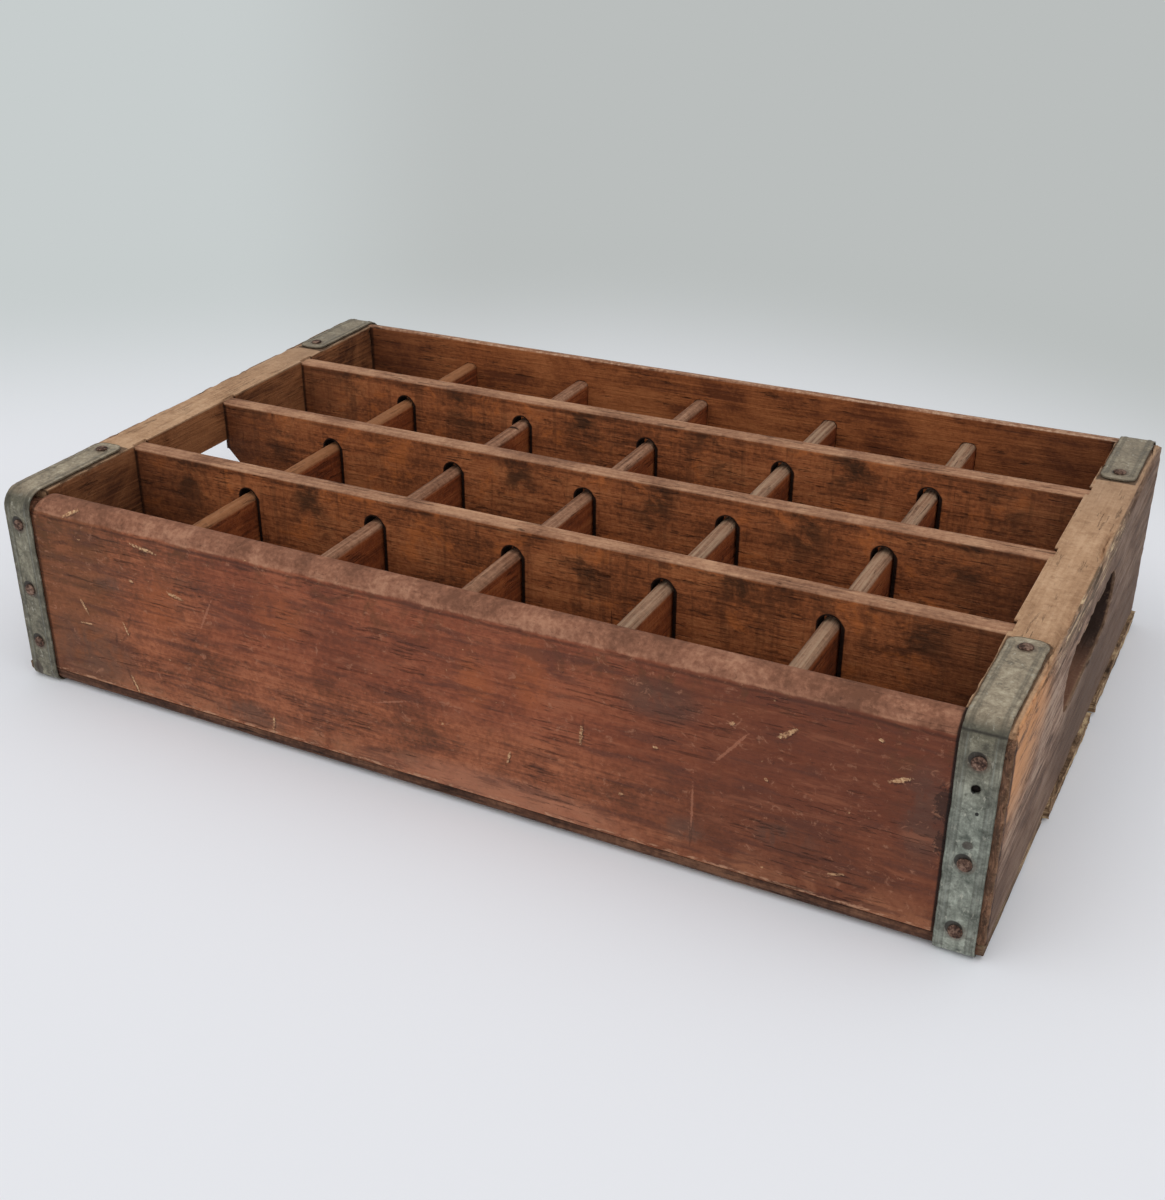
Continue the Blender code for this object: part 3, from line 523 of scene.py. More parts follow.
def divider_paint(finish, grain):
    """Dark smudges where bottle necks rubbed, slots painted black as shadow, painted shade towards the ends,
    and a paler rubbed top edge.
    """
    z = finish.z
    coat, span = finish.coat, finish.span
    offset = finish.maths("ADD", finish.x, CELL_PITCH * 3)
    phase = finish.maths("FRACT", finish.maths("DIVIDE", offset, CELL_PITCH))
    from_middle = finish.maths("ABSOLUTE", finish.maths("SUBTRACT", phase, 0.5))
    from_slot = finish.times(finish.maths("SUBTRACT", 0.5, from_middle), CELL_PITCH)
    patchy = finish.noise((46, 60, 70), 5, 0.7, 0.5)
    smudge = finish.times(span(from_middle, 0.24, 0.02), span(z, *SMUDGE_Z))
    coat((58, 38, 24), smudge, span(patchy, 0.44, 0.62), 0.85)
    coat((196, 112, 56), span(patchy, 0.46, 0.34), 0.45)
    coat((120, 58, 28), span(z, *DEEP_Z), 0.4)
    # Painted shade: darker towards the end boards, where the cells' corners are
    coat((64, 38, 26), span(finish.out, *DIVIDER_END_SHADE_X), 0.5)
    blots = finish.noise((90, 90, 130), 4, 0.7)
    coat((78, 44, 26), span(blots, 0.58, 0.68), 0.6)
    drips = span(finish.noise((230, 230, 14), 3, 0.65), 0.52, 0.66)
    coat((78, 46, 28), drips, span(z, *DRIP_Z), 0.35)
    flaws = span(finish.noise((420, 420, 30), 2, 0.6), 0.68, 0.73)
    coat(CRACK_SHADE, flaws, span(blots, 0.46, 0.58), 0.6)
    checks = span(finish.noise((95, 95, 1150), 2, 0.55, 0.3), 0.62, 0.67)
    checked = span(finish.x, *CHECKED_X, 0.3, 0.6)
    coat(CRACK_SHADE, checks, span(patchy, 0.42, 0.54), checked)
    under_edge = finish.slab(z, DIVIDER_TOP - 0.0032, DIVIDER_TOP - 0.0016, 0.0008)
    coat((66, 38, 24), under_edge, span(patchy, 0.36, 0.56), 0.55)
    bare = finish.ramp(finish.tone((grain.fibre, 0.5), (grain.speck, 0.4), (grain.blotch, 0.8)),
                       ((122, 84, 63), (158, 116, 89), (186, 144, 113)))
    coat(bare, span(z, DIVIDER_TOP - 0.0014, DIVIDER_TOP - 0.0006), 0.95)
    ends = span(finish.out, END_INNER - 0.0016, END_INNER - 0.0004)
    coat((28, 17, 12), ends, span(z, DIVIDER_TOP - 0.0008, DIVIDER_TOP - 0.0020), 0.7)
    # Painted shadow in the slots and the gaps about the slats
    coat((16, 9, 6), slot_shadow_mask(finish, from_slot, phase), 0.97)


# A dark nick across the top of one slat
SLAT_NICK = (-0.0745, 0.0580, SLAT_TOP)
SLAT_NICK_REACH = (0.0064, 0.0017, 0.0050)
TAN_SLAT_X = (-0.10, -0.12)
GREY_SLAT_X = (-0.02, 0.08)


def slat_paint(finish, grain):
    """Paler along the rounded top, which is tan on the slat at the left and greyer on the right."""
    bare = finish.ramp(finish.tone((grain.fibre, 0.7), (grain.speck, 0.4)),
                       ((96, 66, 49), (139, 101, 78), (172, 134, 108)))
    bare = finish.lay(bare, (152, 100, 60), finish.span(finish.x, *TAN_SLAT_X), 0.65)
    greyed = finish.span(grain.fibre, 0.35, 0.65, 0.15, 0.80)
    bare = finish.lay(bare, (164, 141, 117), finish.span(finish.x, *GREY_SLAT_X), greyed)
    finish.coat(bare, finish.span(finish.z, SLAT_TOP - 0.0032, SLAT_TOP - 0.0014), 0.9)
    finish.coat(CRACK_SHADE, finish.spot(SLAT_NICK, SLAT_NICK_REACH, 0.25), 0.9)


# The right end board's fresher patch and splintered band, the grime about the hand holes, and the painted
# shade inside them
RIGHT_PATCH = (-0.142, 0.098, 0.068, 0.054)
RIGHT_TORN = ((END_OUTER, -0.012, 0.0945), (0.020, 0.080, 0.0095), 0.6)
HAND_HOLE_GRIME = (0.0, 0.035, 0.075, 0.030)
HAND_HOLE_END = 0.0515
HAND_HOLE_Z = (0.0470, 0.0780)
HAND_HOLE_SHADE = (0.060, 0.110)
NARROWING_Y = (-0.080, -0.105)
PALE_BACK_Y = (0.0, 0.12)
DARK_FRONT_Y = (-0.02, -0.12)
GREY_BACK_Y = (-0.03, 0.03)
GREY_FOOT_Z = (0.055, 0.025)


def outer_shade(finish, grain, patch, torn_band):
    """The grey outer face, with its fresher patch and its splintered band where the board has them."""
    y, z, span = finish.y, finish.z, finish.span
    sawn = finish.noise((40, 46, 300), 5, 0.72, 0.3)
    greyed = finish.ramp(finish.tone((grain.fibre, 0.7), (sawn, 1.1), (grain.blotch, 0.8)),
                         ((86, 65, 53), (136, 108, 91), (168, 142, 123)))
    greyed = finish.lay(greyed, (98, 74, 60), span(z, *GREY_FOOT_Z), 0.65)
    greyed = finish.lay(greyed, (80, 60, 48), finish.glow(y, z, HAND_HOLE_GRIME), 0.6)
    greyed = finish.lay(greyed, (96, 74, 60), span(y, *GREY_BACK_Y), 0.55)
    if patch:
        fresh = finish.times(finish.glow(y, z, patch), span(sawn, 0.30, 0.52))
        greyed = finish.lay(greyed, (206, 146, 98), fresh, 0.85)
    if torn_band:
        band = finish.spot(*torn_band)
        slivers = finish.noise((420, 34, 520), 4, 0.7, 0.4)
        greyed = finish.lay(greyed, (168, 138, 112), band, 0.5)
        greyed = finish.lay(greyed, (70, 56, 42), band, span(slivers, 0.48, 0.56), 0.8)
        greyed = finish.lay(greyed, (220, 196, 158), band, span(slivers, 0.44, 0.38), 0.8)
    return greyed


def end_board_paint(patch, torn_band, narrowed):
    """A paint: stained inside like the dividers and darkened there as painted shade, greyed outside, bare on
    top, with painted shade in the hand hole and painted shadow about the straps on top and in an empty nail
    hole.

    patch is a fresher place on the outer face and torn_band a splintered one. narrowed says how far
    the outer face is drawn in at its front corner.
    """
    def paint(finish, grain):
        y, z, out = finish.y, finish.z, finish.out
        coat, span = finish.coat, finish.span
        below_top = span(z, WOOD_TOP - 0.0003, WOOD_TOP - 0.0013)
        inner = finish.times(span(out, END_INNER + 0.0016, END_INNER + 0.0008), below_top)
        narrow = span(y, *NARROWING_Y, 0.0, narrowed)
        outer = span(finish.maths("ADD", out, narrow), END_OUTER - 0.0016, END_OUTER - 0.0008)
        mottle = finish.noise((150, 150, 150), 5, 0.72)
        coat((140, 104, 76), span(mottle, 0.46, 0.36), 0.35)
        coat((208, 174, 138), span(mottle, 0.58, 0.68), 0.25)
        coat((152, 126, 104), span(y, *PALE_BACK_Y), 0.5)
        # Stained like the dividers, with the shades darkened as painted shade of the cells' corners
        stained_and_shaded = finish.ramp(finish.tone((grain.fibre, 0.7), (grain.blotch, 1.2)),
                              ((86, 50, 30), (128, 80, 49), (152, 100, 64)))
        stained_and_shaded = finish.lay(stained_and_shaded, (84, 50, 32), span(y, *DARK_FRONT_Y), 0.3)
        coat(stained_and_shaded, inner)
        sideways = finish.maths("ABSOLUTE", y)
        from_divider = finish.maths("ABSOLUTE", finish.maths("SUBTRACT", sideways, DIVIDER_PITCH))
        from_divider = finish.maths("MINIMUM", from_divider, sideways)
        by_divider = span(from_divider, DIVIDER_HALF + 0.0016, DIVIDER_HALF + 0.0004)
        by_side = span(sideways, SIDE_INNER - 0.0018, SIDE_INNER - 0.0006)
        coat((30, 18, 12), finish.maths("MAXIMUM", by_divider, by_side), inner, 0.7)
        coat(outer_shade(finish, grain, patch, torn_band), outer)
        hole = finish.times(finish.slab(out, END_INNER + 0.0012, END_OUTER - 0.0012, 0.0006),
                            span(sideways, HAND_HOLE_END + 0.0015, HAND_HOLE_END),
                            finish.slab(z, *HAND_HOLE_Z, 0.0006))
        # Painted shade inside the hand hole, nearly black further in
        coat((96, 62, 50), hole, 0.85)
        far = span(finish.maths("MULTIPLY_ADD", z, 1.5, y), *HAND_HOLE_SHADE)
        coat((22, 15, 13), hole, far, 0.85)
        # Painted shadow: a dark line on the top around each strap, where the strap stands off the wood
        for strap in ("strap_front_right", "strap_back_right"):
            low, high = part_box(strap)
            lengthwise = finish.slab(out, low[X] - 0.0009, high[X] + 0.0005, 0.0003)
            crosswise = finish.slab(y, low[Y] - 0.0010, high[Y] + 0.0010, 0.0003)
            on_top = span(z, WOOD_TOP - 0.002, WOOD_TOP - 0.001)
            coat((26, 17, 13), lengthwise, crosswise, on_top, 0.7)
        corner = span(y, END_FRONT + 0.0034, END_FRONT + 0.0024)
        hatch = finish.noise((500, 500, 130), 3, 0.7, 0.5)
        reddish = finish.ramp(hatch, ((40, 24, 18), (68, 43, 32), (126, 90, 69)))
        coat(reddish, corner, span(z, WOOD_TOP - 0.002, WOOD_TOP - 0.004), 0.9)
        # Painted shadow: the wood inside the empty nail hole is black
        coat((12, 8, 6), finish.spot(EMPTY_HOLE, EMPTY_HOLE_REACH, 0), 0.95)
    return paint


TORN_DARK_Y = (-0.085, -0.100)


def bottom_paint(finish, grain):
    """Dark along the front edge, and pale, torn end grain at both ends."""
    edge = finish.span(finish.y, FRONT_FACE + 0.0020, FRONT_FACE + 0.0010)
    rough = finish.ramp(finish.tone((grain.fibre, 0.6), (grain.speck, 0.4), (grain.blotch, 0.8)),
                        ((48, 29, 21), (80, 51, 38), (116, 80, 60)))
    finish.coat(rough, edge, 0.9)
    ends = finish.span(finish.out, BOTTOM_END - 0.0040, BOTTOM_END - 0.0010)
    torn = finish.ramp(finish.noise((60, 45, 900), 5, 0.72, 0.4),
                       ((54, 38, 28), (138, 110, 84), (204, 180, 142)), 0.38, 0.62)
    torn = finish.lay(torn, (58, 40, 30), finish.span(finish.y, *TORN_DARK_Y), 0.55)
    finish.coat(torn, ends, 0.95)


TAN_WOOD = ((154, 118, 88), (177, 140, 108), (194, 158, 126))
TAN_SHARES = (0.4, 0.35, 0.6, 0.45)

# What wood() takes for each kind of board, after the finish's name
WOODS = {
    "side_board_front": (X, ((97, 57, 38), (133, 76, 51), (160, 97, 67)), (0.6, 0.4, 0.8, 0.5),
                         0.32, (172, 126, 98), 0.4, front_board_paint),
    "side_board_back": (X, ((102, 54, 29), (143, 82, 45), (166, 101, 59)), (0.5, 0.6, 0.9, 0.3),
                        0.6, (176, 134, 102), 0.6, back_board_paint),
    "end_board_left": (Y, TAN_WOOD, TAN_SHARES, 0.2, (172, 138, 106), 0.25,
                       end_board_paint(None, None, 0.003)),
    "end_board_right": (Y, TAN_WOOD, TAN_SHARES, 0.2, (176, 142, 110), 0.25,
                        end_board_paint(RIGHT_PATCH, RIGHT_TORN, 0)),
    "long_divider": (X, ((106, 59, 33), (149, 86, 50), (174, 108, 66)), (0.5, 0.4, 0.65, 0.5),
                     0.5, (176, 132, 100), 0.4, divider_paint),
    "bottom_board": (X, ((66, 44, 30), (108, 76, 54), (140, 106, 80)), (0.9, 0.7, 0.7, 0.5),
                     0.9, (104, 72, 54), 0.15, bottom_paint),
    "cross_slat": (Y, ((94, 47, 25), (132, 68, 36), (158, 90, 50)), (0.6, 0.5, 0.7, 0.3),
                   0.4, (160, 120, 92), 0.3, slat_paint),
}


# Zinc and rust

BEAD_CREST = 0.0053
BEAD_FOOT = 0.0067
BEAD_INNER_FOOT = 0.0042
# Where a coat starts and where it's full on the straps' faces, top arms, bends and sides; the bends get
# painted shade and the crease at the bend painted shadow
FACE_Z = (0.0965, 0.0940)
BROWN_X = (0.05, -0.05)
BROWN_Z = (0.055, 0.094)
RIGHT_X = (0.0, 0.1)
TOP_ARM_Z = (0.0964, 0.0988)
TOP_ARM_DARK_Y = (0.0, 0.1)
BEND_SHADE_Y = (0.1390, 0.1478)
BEND_SHADE_Z = (0.0935, 0.0975)
CREASE_SHADOW_Z = (0.0954, 0.0962)
SIDES_X = (0.0030, 0.0062)
SIDES_Y = (-0.1470, -0.1490)
SIDES_Z = (0.0875, 0.0945)
HEAD_STAIN_AND_SHADOW_REACH = 0.0036
CRESCENT_SHADOW_SHIFT = Vector((-0.0008, 0, 0.0012))
# Holes, painted black as shadow, and stains on the front straps: centres and reaches
STRAP_HOLES = (
    ((STRAP_CENTRE - 0.0006, FRONT_FACE - 0.0010, 0.0736), (0.0012, 0.0040, 0.0020)),
    ((STRAP_CENTRE + 0.0016, FRONT_FACE - 0.0010, 0.0640), (0.0008, 0.0040, 0.0009)),
)
STRAP_SMUDGES = (
    ((STRAP_CENTRE, FRONT_FACE - 0.0010, 0.0500), (0.0022, 0.0040, 0.0020)),
    ((-STRAP_CENTRE - 0.0040, FRONT_FACE - 0.0010, 0.0060), (0.0030, 0.0040, 0.0050)),
)


def strap_stains_and_shadows(finish, nail_places):
    """Rust about each nail, a painted crescent shadow beside its head, the front straps' holes painted black
    as shadow, and their smudges.
    """
    coat, span = finish.coat, finish.span
    head = finish.nearest(nail_places)
    coat((84, 62, 50), span(head, HEAD_STAIN_AND_SHADOW_REACH + 0.0012, HEAD_STAIN_AND_SHADOW_REACH), 0.45)
    # Painted shadow: a dark crescent beside each nail head
    shifted = finish.nearest([place + CRESCENT_SHADOW_SHIFT for place in nail_places])
    coat((24, 18, 15), span(shifted, HEAD_STAIN_AND_SHADOW_REACH, HEAD_STAIN_AND_SHADOW_REACH - 0.0004), 0.8)
    # Painted shadow: the holes are black inside
    for centre, reach in STRAP_HOLES:
        coat((12, 9, 7), finish.spot(centre, reach, 0.2), 0.95)
    for centre, reach in STRAP_SMUDGES:
        coat((60, 48, 42), finish.spot(centre, reach), 0.75)


def zinc(name, nail_places):
    """Old galvanised steel: mottled, warm on top and to the left, greener down the right faces, with painted
    highlight and shade on the beads and painted shade at the bends.
    """
    finish = Finish(name)
    x, y, z = finish.x, finish.y, finish.z
    coat, span = finish.coat, finish.span
    cloud = finish.noise((110, 110, 110), 5, 0.72, 0.6)
    spangle = finish.noise((540, 540, 540), 4, 0.75)
    drawn = finish.noise((420, 50, 50), 4, 0.7, 0.4)
    tone = finish.tone((cloud, 0.9), (spangle, 0.4), (drawn, 0.2))
    green = finish.ramp(tone, ((80, 85, 76), (128, 132, 121), (172, 177, 164)))
    brown = finish.ramp(tone, ((77, 72, 59), (115, 109, 91), (152, 146, 126)))
    calm = finish.tone((cloud, 0.7), (spangle, 0.5))
    warm = finish.ramp(calm, ((112, 100, 82), (158, 143, 121), (194, 182, 158)))
    browner = finish.maths("MAXIMUM", span(x, *BROWN_X), span(z, *BROWN_Z))
    finish.base = finish.lay(green, brown, browner, 0.9)
    warm = finish.lay(warm, (88, 80, 68), span(y, *TOP_ARM_DARK_Y), 0.3)
    coat(warm, span(z, *TOP_ARM_Z))
    off_centre = finish.maths("ABSOLUTE", finish.maths("SUBTRACT", finish.out, STRAP_CENTRE))
    face = span(z, *FACE_Z)
    # Painted highlight along each bead's crest
    crest = finish.slab(off_centre, BEAD_CREST - 0.0004, BEAD_CREST, 0.0003)
    coat((178, 184, 174), crest, span(cloud, 0.3, 0.6), face, 0.5)
    # Painted shade in the feet on both sides of each bead
    for foot in (BEAD_FOOT, BEAD_INNER_FOOT):
        groove = finish.slab(off_centre, foot - 0.0002, foot + 0.0002, 0.0004)
        coat((54, 53, 46), groove, span(cloud, 0.24, 0.5), face, 0.6)
    flecks = span(finish.noise((480, 170, 240), 3, 0.65), 0.61, 0.67)
    coat((206, 202, 186), flecks, 0.35)
    blots = span(finish.noise((170, 170, 170), 4, 0.75), 0.42, 0.34)
    coat((62, 58, 48), blots, 0.45)
    # Painted shade over the top bends
    bend_shade = finish.times(span(finish.maths("ABSOLUTE", y), *BEND_SHADE_Y), span(z, *BEND_SHADE_Z))
    coat((58, 54, 44), bend_shade, span(cloud, 0.30, 0.54), 0.65)
    # Painted shadow along the crease of the bend, on the right straps
    crease_shadow = finish.times(finish.slab(z, *CREASE_SHADOW_Z, 0.0004), span(x, *RIGHT_X))
    coat((38, 32, 27), crease_shadow, 0.8)
    sides = finish.times(span(off_centre, *SIDES_X), span(z, *SIDES_Z))
    coat((42, 34, 28), sides, span(y, *SIDES_Y), 0.6)
    coat((62, 60, 52), span(finish.attribute("wear"), 0.3, 1.0), 0.4)
    strap_stains_and_shadows(finish, nail_places)
    height = finish.maths("MULTIPLY_ADD", cloud, 0.9, finish.times(spangle, 0.4))
    rough = span(cloud, 0.3, 0.7, 0.42, 0.62)
    return finish.dull(rough, height, 0.0004, specular=0.45, metallic=0.3)


def rust(name):
    finish = Finish(name)
    grit = finish.noise((800, 800, 800), 4, 0.72)
    cloud = finish.noise((300, 300, 300), 4, 0.65)
    finish.base = finish.ramp(finish.tone((cloud, 1.2), (grit, 0.9)),
                              ((50, 36, 30), (94, 70, 59), (138, 112, 97)))
    return finish.dull(0.68, grit, 0.0004, metallic=0.25)


# Slicing and wear

def slice_places(low, high, spacing, edge_offsets):
    """Evenly spaced places from low to high, with closer ones by both ends."""
    count = max(1, round((high - low) / spacing))
    places = [low + (high - low) * step / count for step in range(1, count)]
    for offset in edge_offsets:
        places += [low + offset, high - offset]
    kept = []
    for place in sorted(places):
        if low < place < high and (not kept or place - kept[-1] > SLICE_GAP):
            kept.append(place)
    return kept


def slice_mesh(bm, axis, places):
    """Cuts the mesh across this axis at each place, from low to high."""
    normal = Vector((0, 0, 0))
    normal[axis] = 1
    ahead = list(bm.faces)
    for place in places:
        edges = {edge for face in ahead for edge in face.edges}
        verts = {vert for face in ahead for vert in face.verts}
        made = bmesh.ops.bisect_plane(
            bm, geom=[*verts, *edges, *ahead], dist=MERGE_DISTANCE, plane_co=normal * place, plane_no=normal)
        ahead = []
        for thing in made["geom"]:
            if isinstance(thing, bmesh.types.BMFace):
                if max(vert.co[axis] for vert in thing.verts) > place + MERGE_DISTANCE:
                    ahead.append(thing)


def in_joint(point):
    """Whether the point is in a slot, in a groove or on the bottom seam, where nothing wears."""
    out, sideways = abs(point.x), abs(point.y)
    by_dividers = sideways < DIVIDER_PITCH + DIVIDER_HALF + 0.0012
    in_slot = by_dividers and out < END_INNER and SLOT_Z[0] < point.z < SLOT_Z[1]
    in_end_groove = by_dividers and END_INNER - 0.0001 < out < END_INNER + 0.0020
    by_side = SIDE_INNER - 0.0008 < sideways < SIDE_INNER + 0.0027
    in_side_groove = by_side and point.z < SIDE_GROOVE_TOP
    in_bottom_seam = sideways > SIDE_INNER - 0.0008 and abs(point.z - BOTTOM_TOP) < 0.0010
    return in_slot or in_end_groove or in_side_groove or in_bottom_seam


def worn_edges(bm):
    """A search tree of points along every convex edge outside the joints."""
    points = []
    for edge in bm.edges:
        start, end = [vert.co for vert in edge.verts]
        if edge.calc_face_angle_signed(0) > WORN_EDGE_ANGLE and not in_joint((start + end) / 2):
            count = max(1, math.ceil(edge.calc_length() / EDGE_STEP))
            points += [start.lerp(end, step / count) for step in range(count + 1)]
    tree = kdtree.KDTree(len(points))
    for index, point in enumerate(points):
        tree.insert(point, index)
    tree.balance()
    return tree


@dataclass
class Wear:
    """How deep a board is worn, and how finely it is sliced.

    extra(wear, place) gives more depth, and shape(bm) reshapes the sliced copy before it's worn.
    """

    grain: int
    spacing: tuple
    offsets: tuple
    edge: float = 0.0006
    chip: float = 0.0009
    fibre: float = 0.00012
    reach: float = 0.004
    extra: object = None
    shape: object = None

    def noise(self, place, grain, across):
        scales = along(self.grain, grain, across)
        return noise.noise(Vector(part * scale for part, scale in zip(place, scales)))

    def depth(self, place, wear):
        """How far this point moves in, from its wear and from noise."""
        waves = 0.65 + 0.7 * self.noise(place, 45, 160)
        chips = max(0, self.noise(place, 130, 420) - 0.12)
        fibres = 0.5 + 0.5 * self.noise(place, 35, 750)
        depth = self.edge * wear * wear * waves + self.chip * wear * chips * 2 + self.fibre * fibres
        if self.extra:
            depth += self.extra(self, place)
        return max(0, depth)


def wear_back(bm, tree, wear):
    """Moves every point in along its normal and keeps its nearness to an edge for the material."""
    bm.normal_update()
    layer = bm.verts.layers.float.new("wear")
    for vert in bm.verts:
        distance = tree.find(vert.co)[2]
        share = max(0, 1 - distance / wear.reach)
        vert[layer] = share
        vert.co -= vert.normal * wear.depth(vert.co, share)


def smooth_shading(bm):
    bm.normal_update()
    for face in bm.faces:
        face.smooth = True
    for edge in bm.edges:
        edge.smooth = edge.calc_face_angle(0) < SMOOTH_ANGLE


def sliced_copy(node, wear):
    """The CAD solid's mesh, closed, with its flat faces made whole and then sliced finely."""
    bm = bmesh.new()
    bm.from_mesh(frame["nodes"][node].data)
    bmesh.ops.remove_doubles(bm, verts=bm.verts, dist=MERGE_DISTANCE)
    bmesh.ops.dissolve_limit(bm, angle_limit=FLAT_ANGLE, verts=bm.verts, edges=bm.edges)
    low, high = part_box(node)
    for axis in (X, Y, Z):
        slice_mesh(bm, axis, slice_places(low[axis], high[axis], wear.spacing[axis], wear.offsets))
    return bm


def add(name, data):
    """A new object in the scene with this data."""
    made = bpy.data.objects.new(name, data)
    bpy.context.scene.collection.objects.link(made)
    return made


def add_mesh(name, bm, material):
    mesh = bpy.data.meshes.new(name)
    bm.to_mesh(mesh)
    bm.free()
    mesh.materials.append(material)
    return add(name, mesh)


def dress(bm, name, slot, made, node):
    """Makes the piece, which rides on the crate and stands for this CAD node."""
    piece = add_mesh(name, bm, made)
    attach(piece, "root")
    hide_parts(node)


def worn_piece(node, wear, slot, made):
    bm = sliced_copy(node, wear)
    if wear.shape:
        wear.shape(bm)
    wear_back(bm, worn_edges(bm), wear)
    smooth_shading(bm)
    dress(bm, node + "_worn", slot, made, node)


# Boards

FINE_OFFSETS = (0.0006, 0.0014, 0.0026, 0.0045)
PLAIN_OFFSETS = (0.0007, 0.0018, 0.0040)
SPLINTER_WIDTH = 0.0035
SPLINTER_HEIGHT = 0.014
ROUNDED_FROM = -0.2050
ROUNDED_LENGTH = 0.0100
ROUNDED_FLOOR = 0.0800
ROUNDED_DROP = 0.0044
NARROWED_BEYOND = 0.2220
NARROWED_FROM = -0.085
NARROWED_LENGTH = 0.055
NARROWED_SHARE = 0.24


def end_board_splinters(wear, place):
    """Long slivers broken out of the outer top edge of an end board, most of all on the right."""
    drop = WOOD_TOP - place.z
    if abs(place.x) < END_OUTER - SPLINTER_WIDTH or drop > SPLINTER_HEIGHT:
        return 0
    torn = max(0, wear.noise(place, 26, 380)) * 2
    return (0.0022 if place.x > 0 else 0.0010) * torn * (1 - drop / SPLINTER_HEIGHT)


def bottom_ends(wear, place):
    """Flakes broken off the bottom boards' ends in layers that run across the boards."""
    if abs(place.x) < BOTTOM_END - 0.0005:
        return 0
    return 0.0011 * (0.5 + 0.5 * noise.noise(Vector((place.x, place.y * 45, place.z * 900))))


def round_left_corner(bm):
    """Lowers the front board's top corner beside the left strap, where it's rubbed round."""
    for vert in bm.verts:
        nearness = min(1, (ROUNDED_FROM - vert.co.x) / ROUNDED_LENGTH)
        height = (vert.co.z - ROUNDED_FLOOR) / (WOOD_TOP - ROUNDED_FLOOR)
        if nearness > 0 and height > 0:
            vert.co.z -= ROUNDED_DROP * nearness ** 2 * height


def narrow_front_corner(bm):
    """Draws the left end board's outer face in towards its front corner, where it's rubbed away."""
    for vert in bm.verts:
        beyond = -NARROWED_BEYOND - vert.co.x
        nearness = min(1, (NARROWED_FROM - vert.co.y) / NARROWED_LENGTH)
        if beyond > 0 and nearness > 0:
            vert.co.x += beyond * NARROWED_SHARE * nearness ** 2 * (3 - 2 * nearness)


DIVIDER_WEAR = Wear(X, (0.0026, 0.0030, 0.0036), PLAIN_OFFSETS, 0.0003, 0.0006)
ROUGH_BOTTOM_WEAR = Wear(X, (0.0060, 0.0030, 0.0014), PLAIN_OFFSETS, 0.0005, 0.0008, 0.0003,
                         extra=bottom_ends)
SLAT_WEAR = Wear(Y, (0.0030, 0.0040, 0.0060), PLAIN_OFFSETS, 0.0003, 0.0008)

# Each board's wear and material slot
BOARDS = {
    "side_board_front": (Wear(X, (0.0018, 0.0026, 0.0022), FINE_OFFSETS, 0.0005, 0.0004, 0.00003,
                              shape=round_left_corner), "side_board_wood"),
    "side_board_back": (Wear(X, (0.0035, 0.0034, 0.0040), PLAIN_OFFSETS), "side_board_wood"),
    "end_board_left": (Wear(Y, (0.0030, 0.0022, 0.0034), FINE_OFFSETS, 0.0006, 0.0012,
                            extra=end_board_splinters, shape=narrow_front_corner), "end_board_wood"),
    "end_board_right": (Wear(Y, (0.0022, 0.0016, 0.0026), FINE_OFFSETS, 0.0006, 0.0014,
                             extra=end_board_splinters), "end_board_wood"),
    **{f"long_divider_{number}": (DIVIDER_WEAR, "divider_wood") for number in range(1, 4)},
    "bottom_board_front": (Wear(X, (0.0040, 0.0060, 0.0020), PLAIN_OFFSETS, 0.0003, 0.0005, 0.00015,
                                extra=bottom_ends), "bottom_board_wood"),
    "bottom_board_middle": (ROUGH_BOTTOM_WEAR, "bottom_board_wood"),
    "bottom_board_back": (ROUGH_BOTTOM_WEAR, "bottom_board_wood"),
    **{f"cross_slat_{number}": (SLAT_WEAR, "slat_wood") for number in range(1, 6)},
}


def boards():
    finishes = {kind: wood(kind + "_finish", *looks) for kind, looks in WOODS.items()}
    for node, (wear, slot) in BOARDS.items():
        kind = next(kind for kind in finishes if node.startswith(kind))
        worn_piece(node, wear, slot, finishes[kind])


# Straps and nails

STRAP_WEAR = Wear(Z, (0.0012, 0.0020, 0.0020), (0.0004,), 0.00025, 0.0003, 0.00016, 0.0015)
NAIL_SIDES = 20
SHANK_RADIUS = 0.0012
POINT_LENGTH = 0.003
PROUD_HEAD_DEPTH = 0.0009
SUNK_HEAD_DEPTH = 0.0005
# A head's radius shares and heights, from its middle out
HEAD_PROFILE = ((0.35, -0.00002), (0.62, -0.00008), (0.85, -0.00022), (0.97, -0.00045), (1.0, -0.0006))


def nail_outward(node):
    """The direction that a nail's head faces."""
    if "face" in node:
        return Vector((0, -1, 0)) if "front" in node else Vector((0, 1, 0))
    return Vector((0, 0, 1)) if "top" in node else Vector((0, 0, -1))


def head_place(node):
    """The middle of a nail's head."""
    low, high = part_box(node)
    outward = nail_outward(node)
    return (low + high) / 2 + outward * abs((high - low).dot(outward)) / 2


def nail_nodes():
    return [node for node in sorted(frame["nodes"]) if "nail" in node]


def straps():
    heads = [head_place(node) for node in nail_nodes() if node.startswith("strap")]
    made = zinc("galvanised_finish", heads)
    for end in ("left", "right"):
        for side in ("front", "back"):
            worn_piece(f"strap_{side}_{end}", STRAP_WEAR, "galvanised_steel", made)


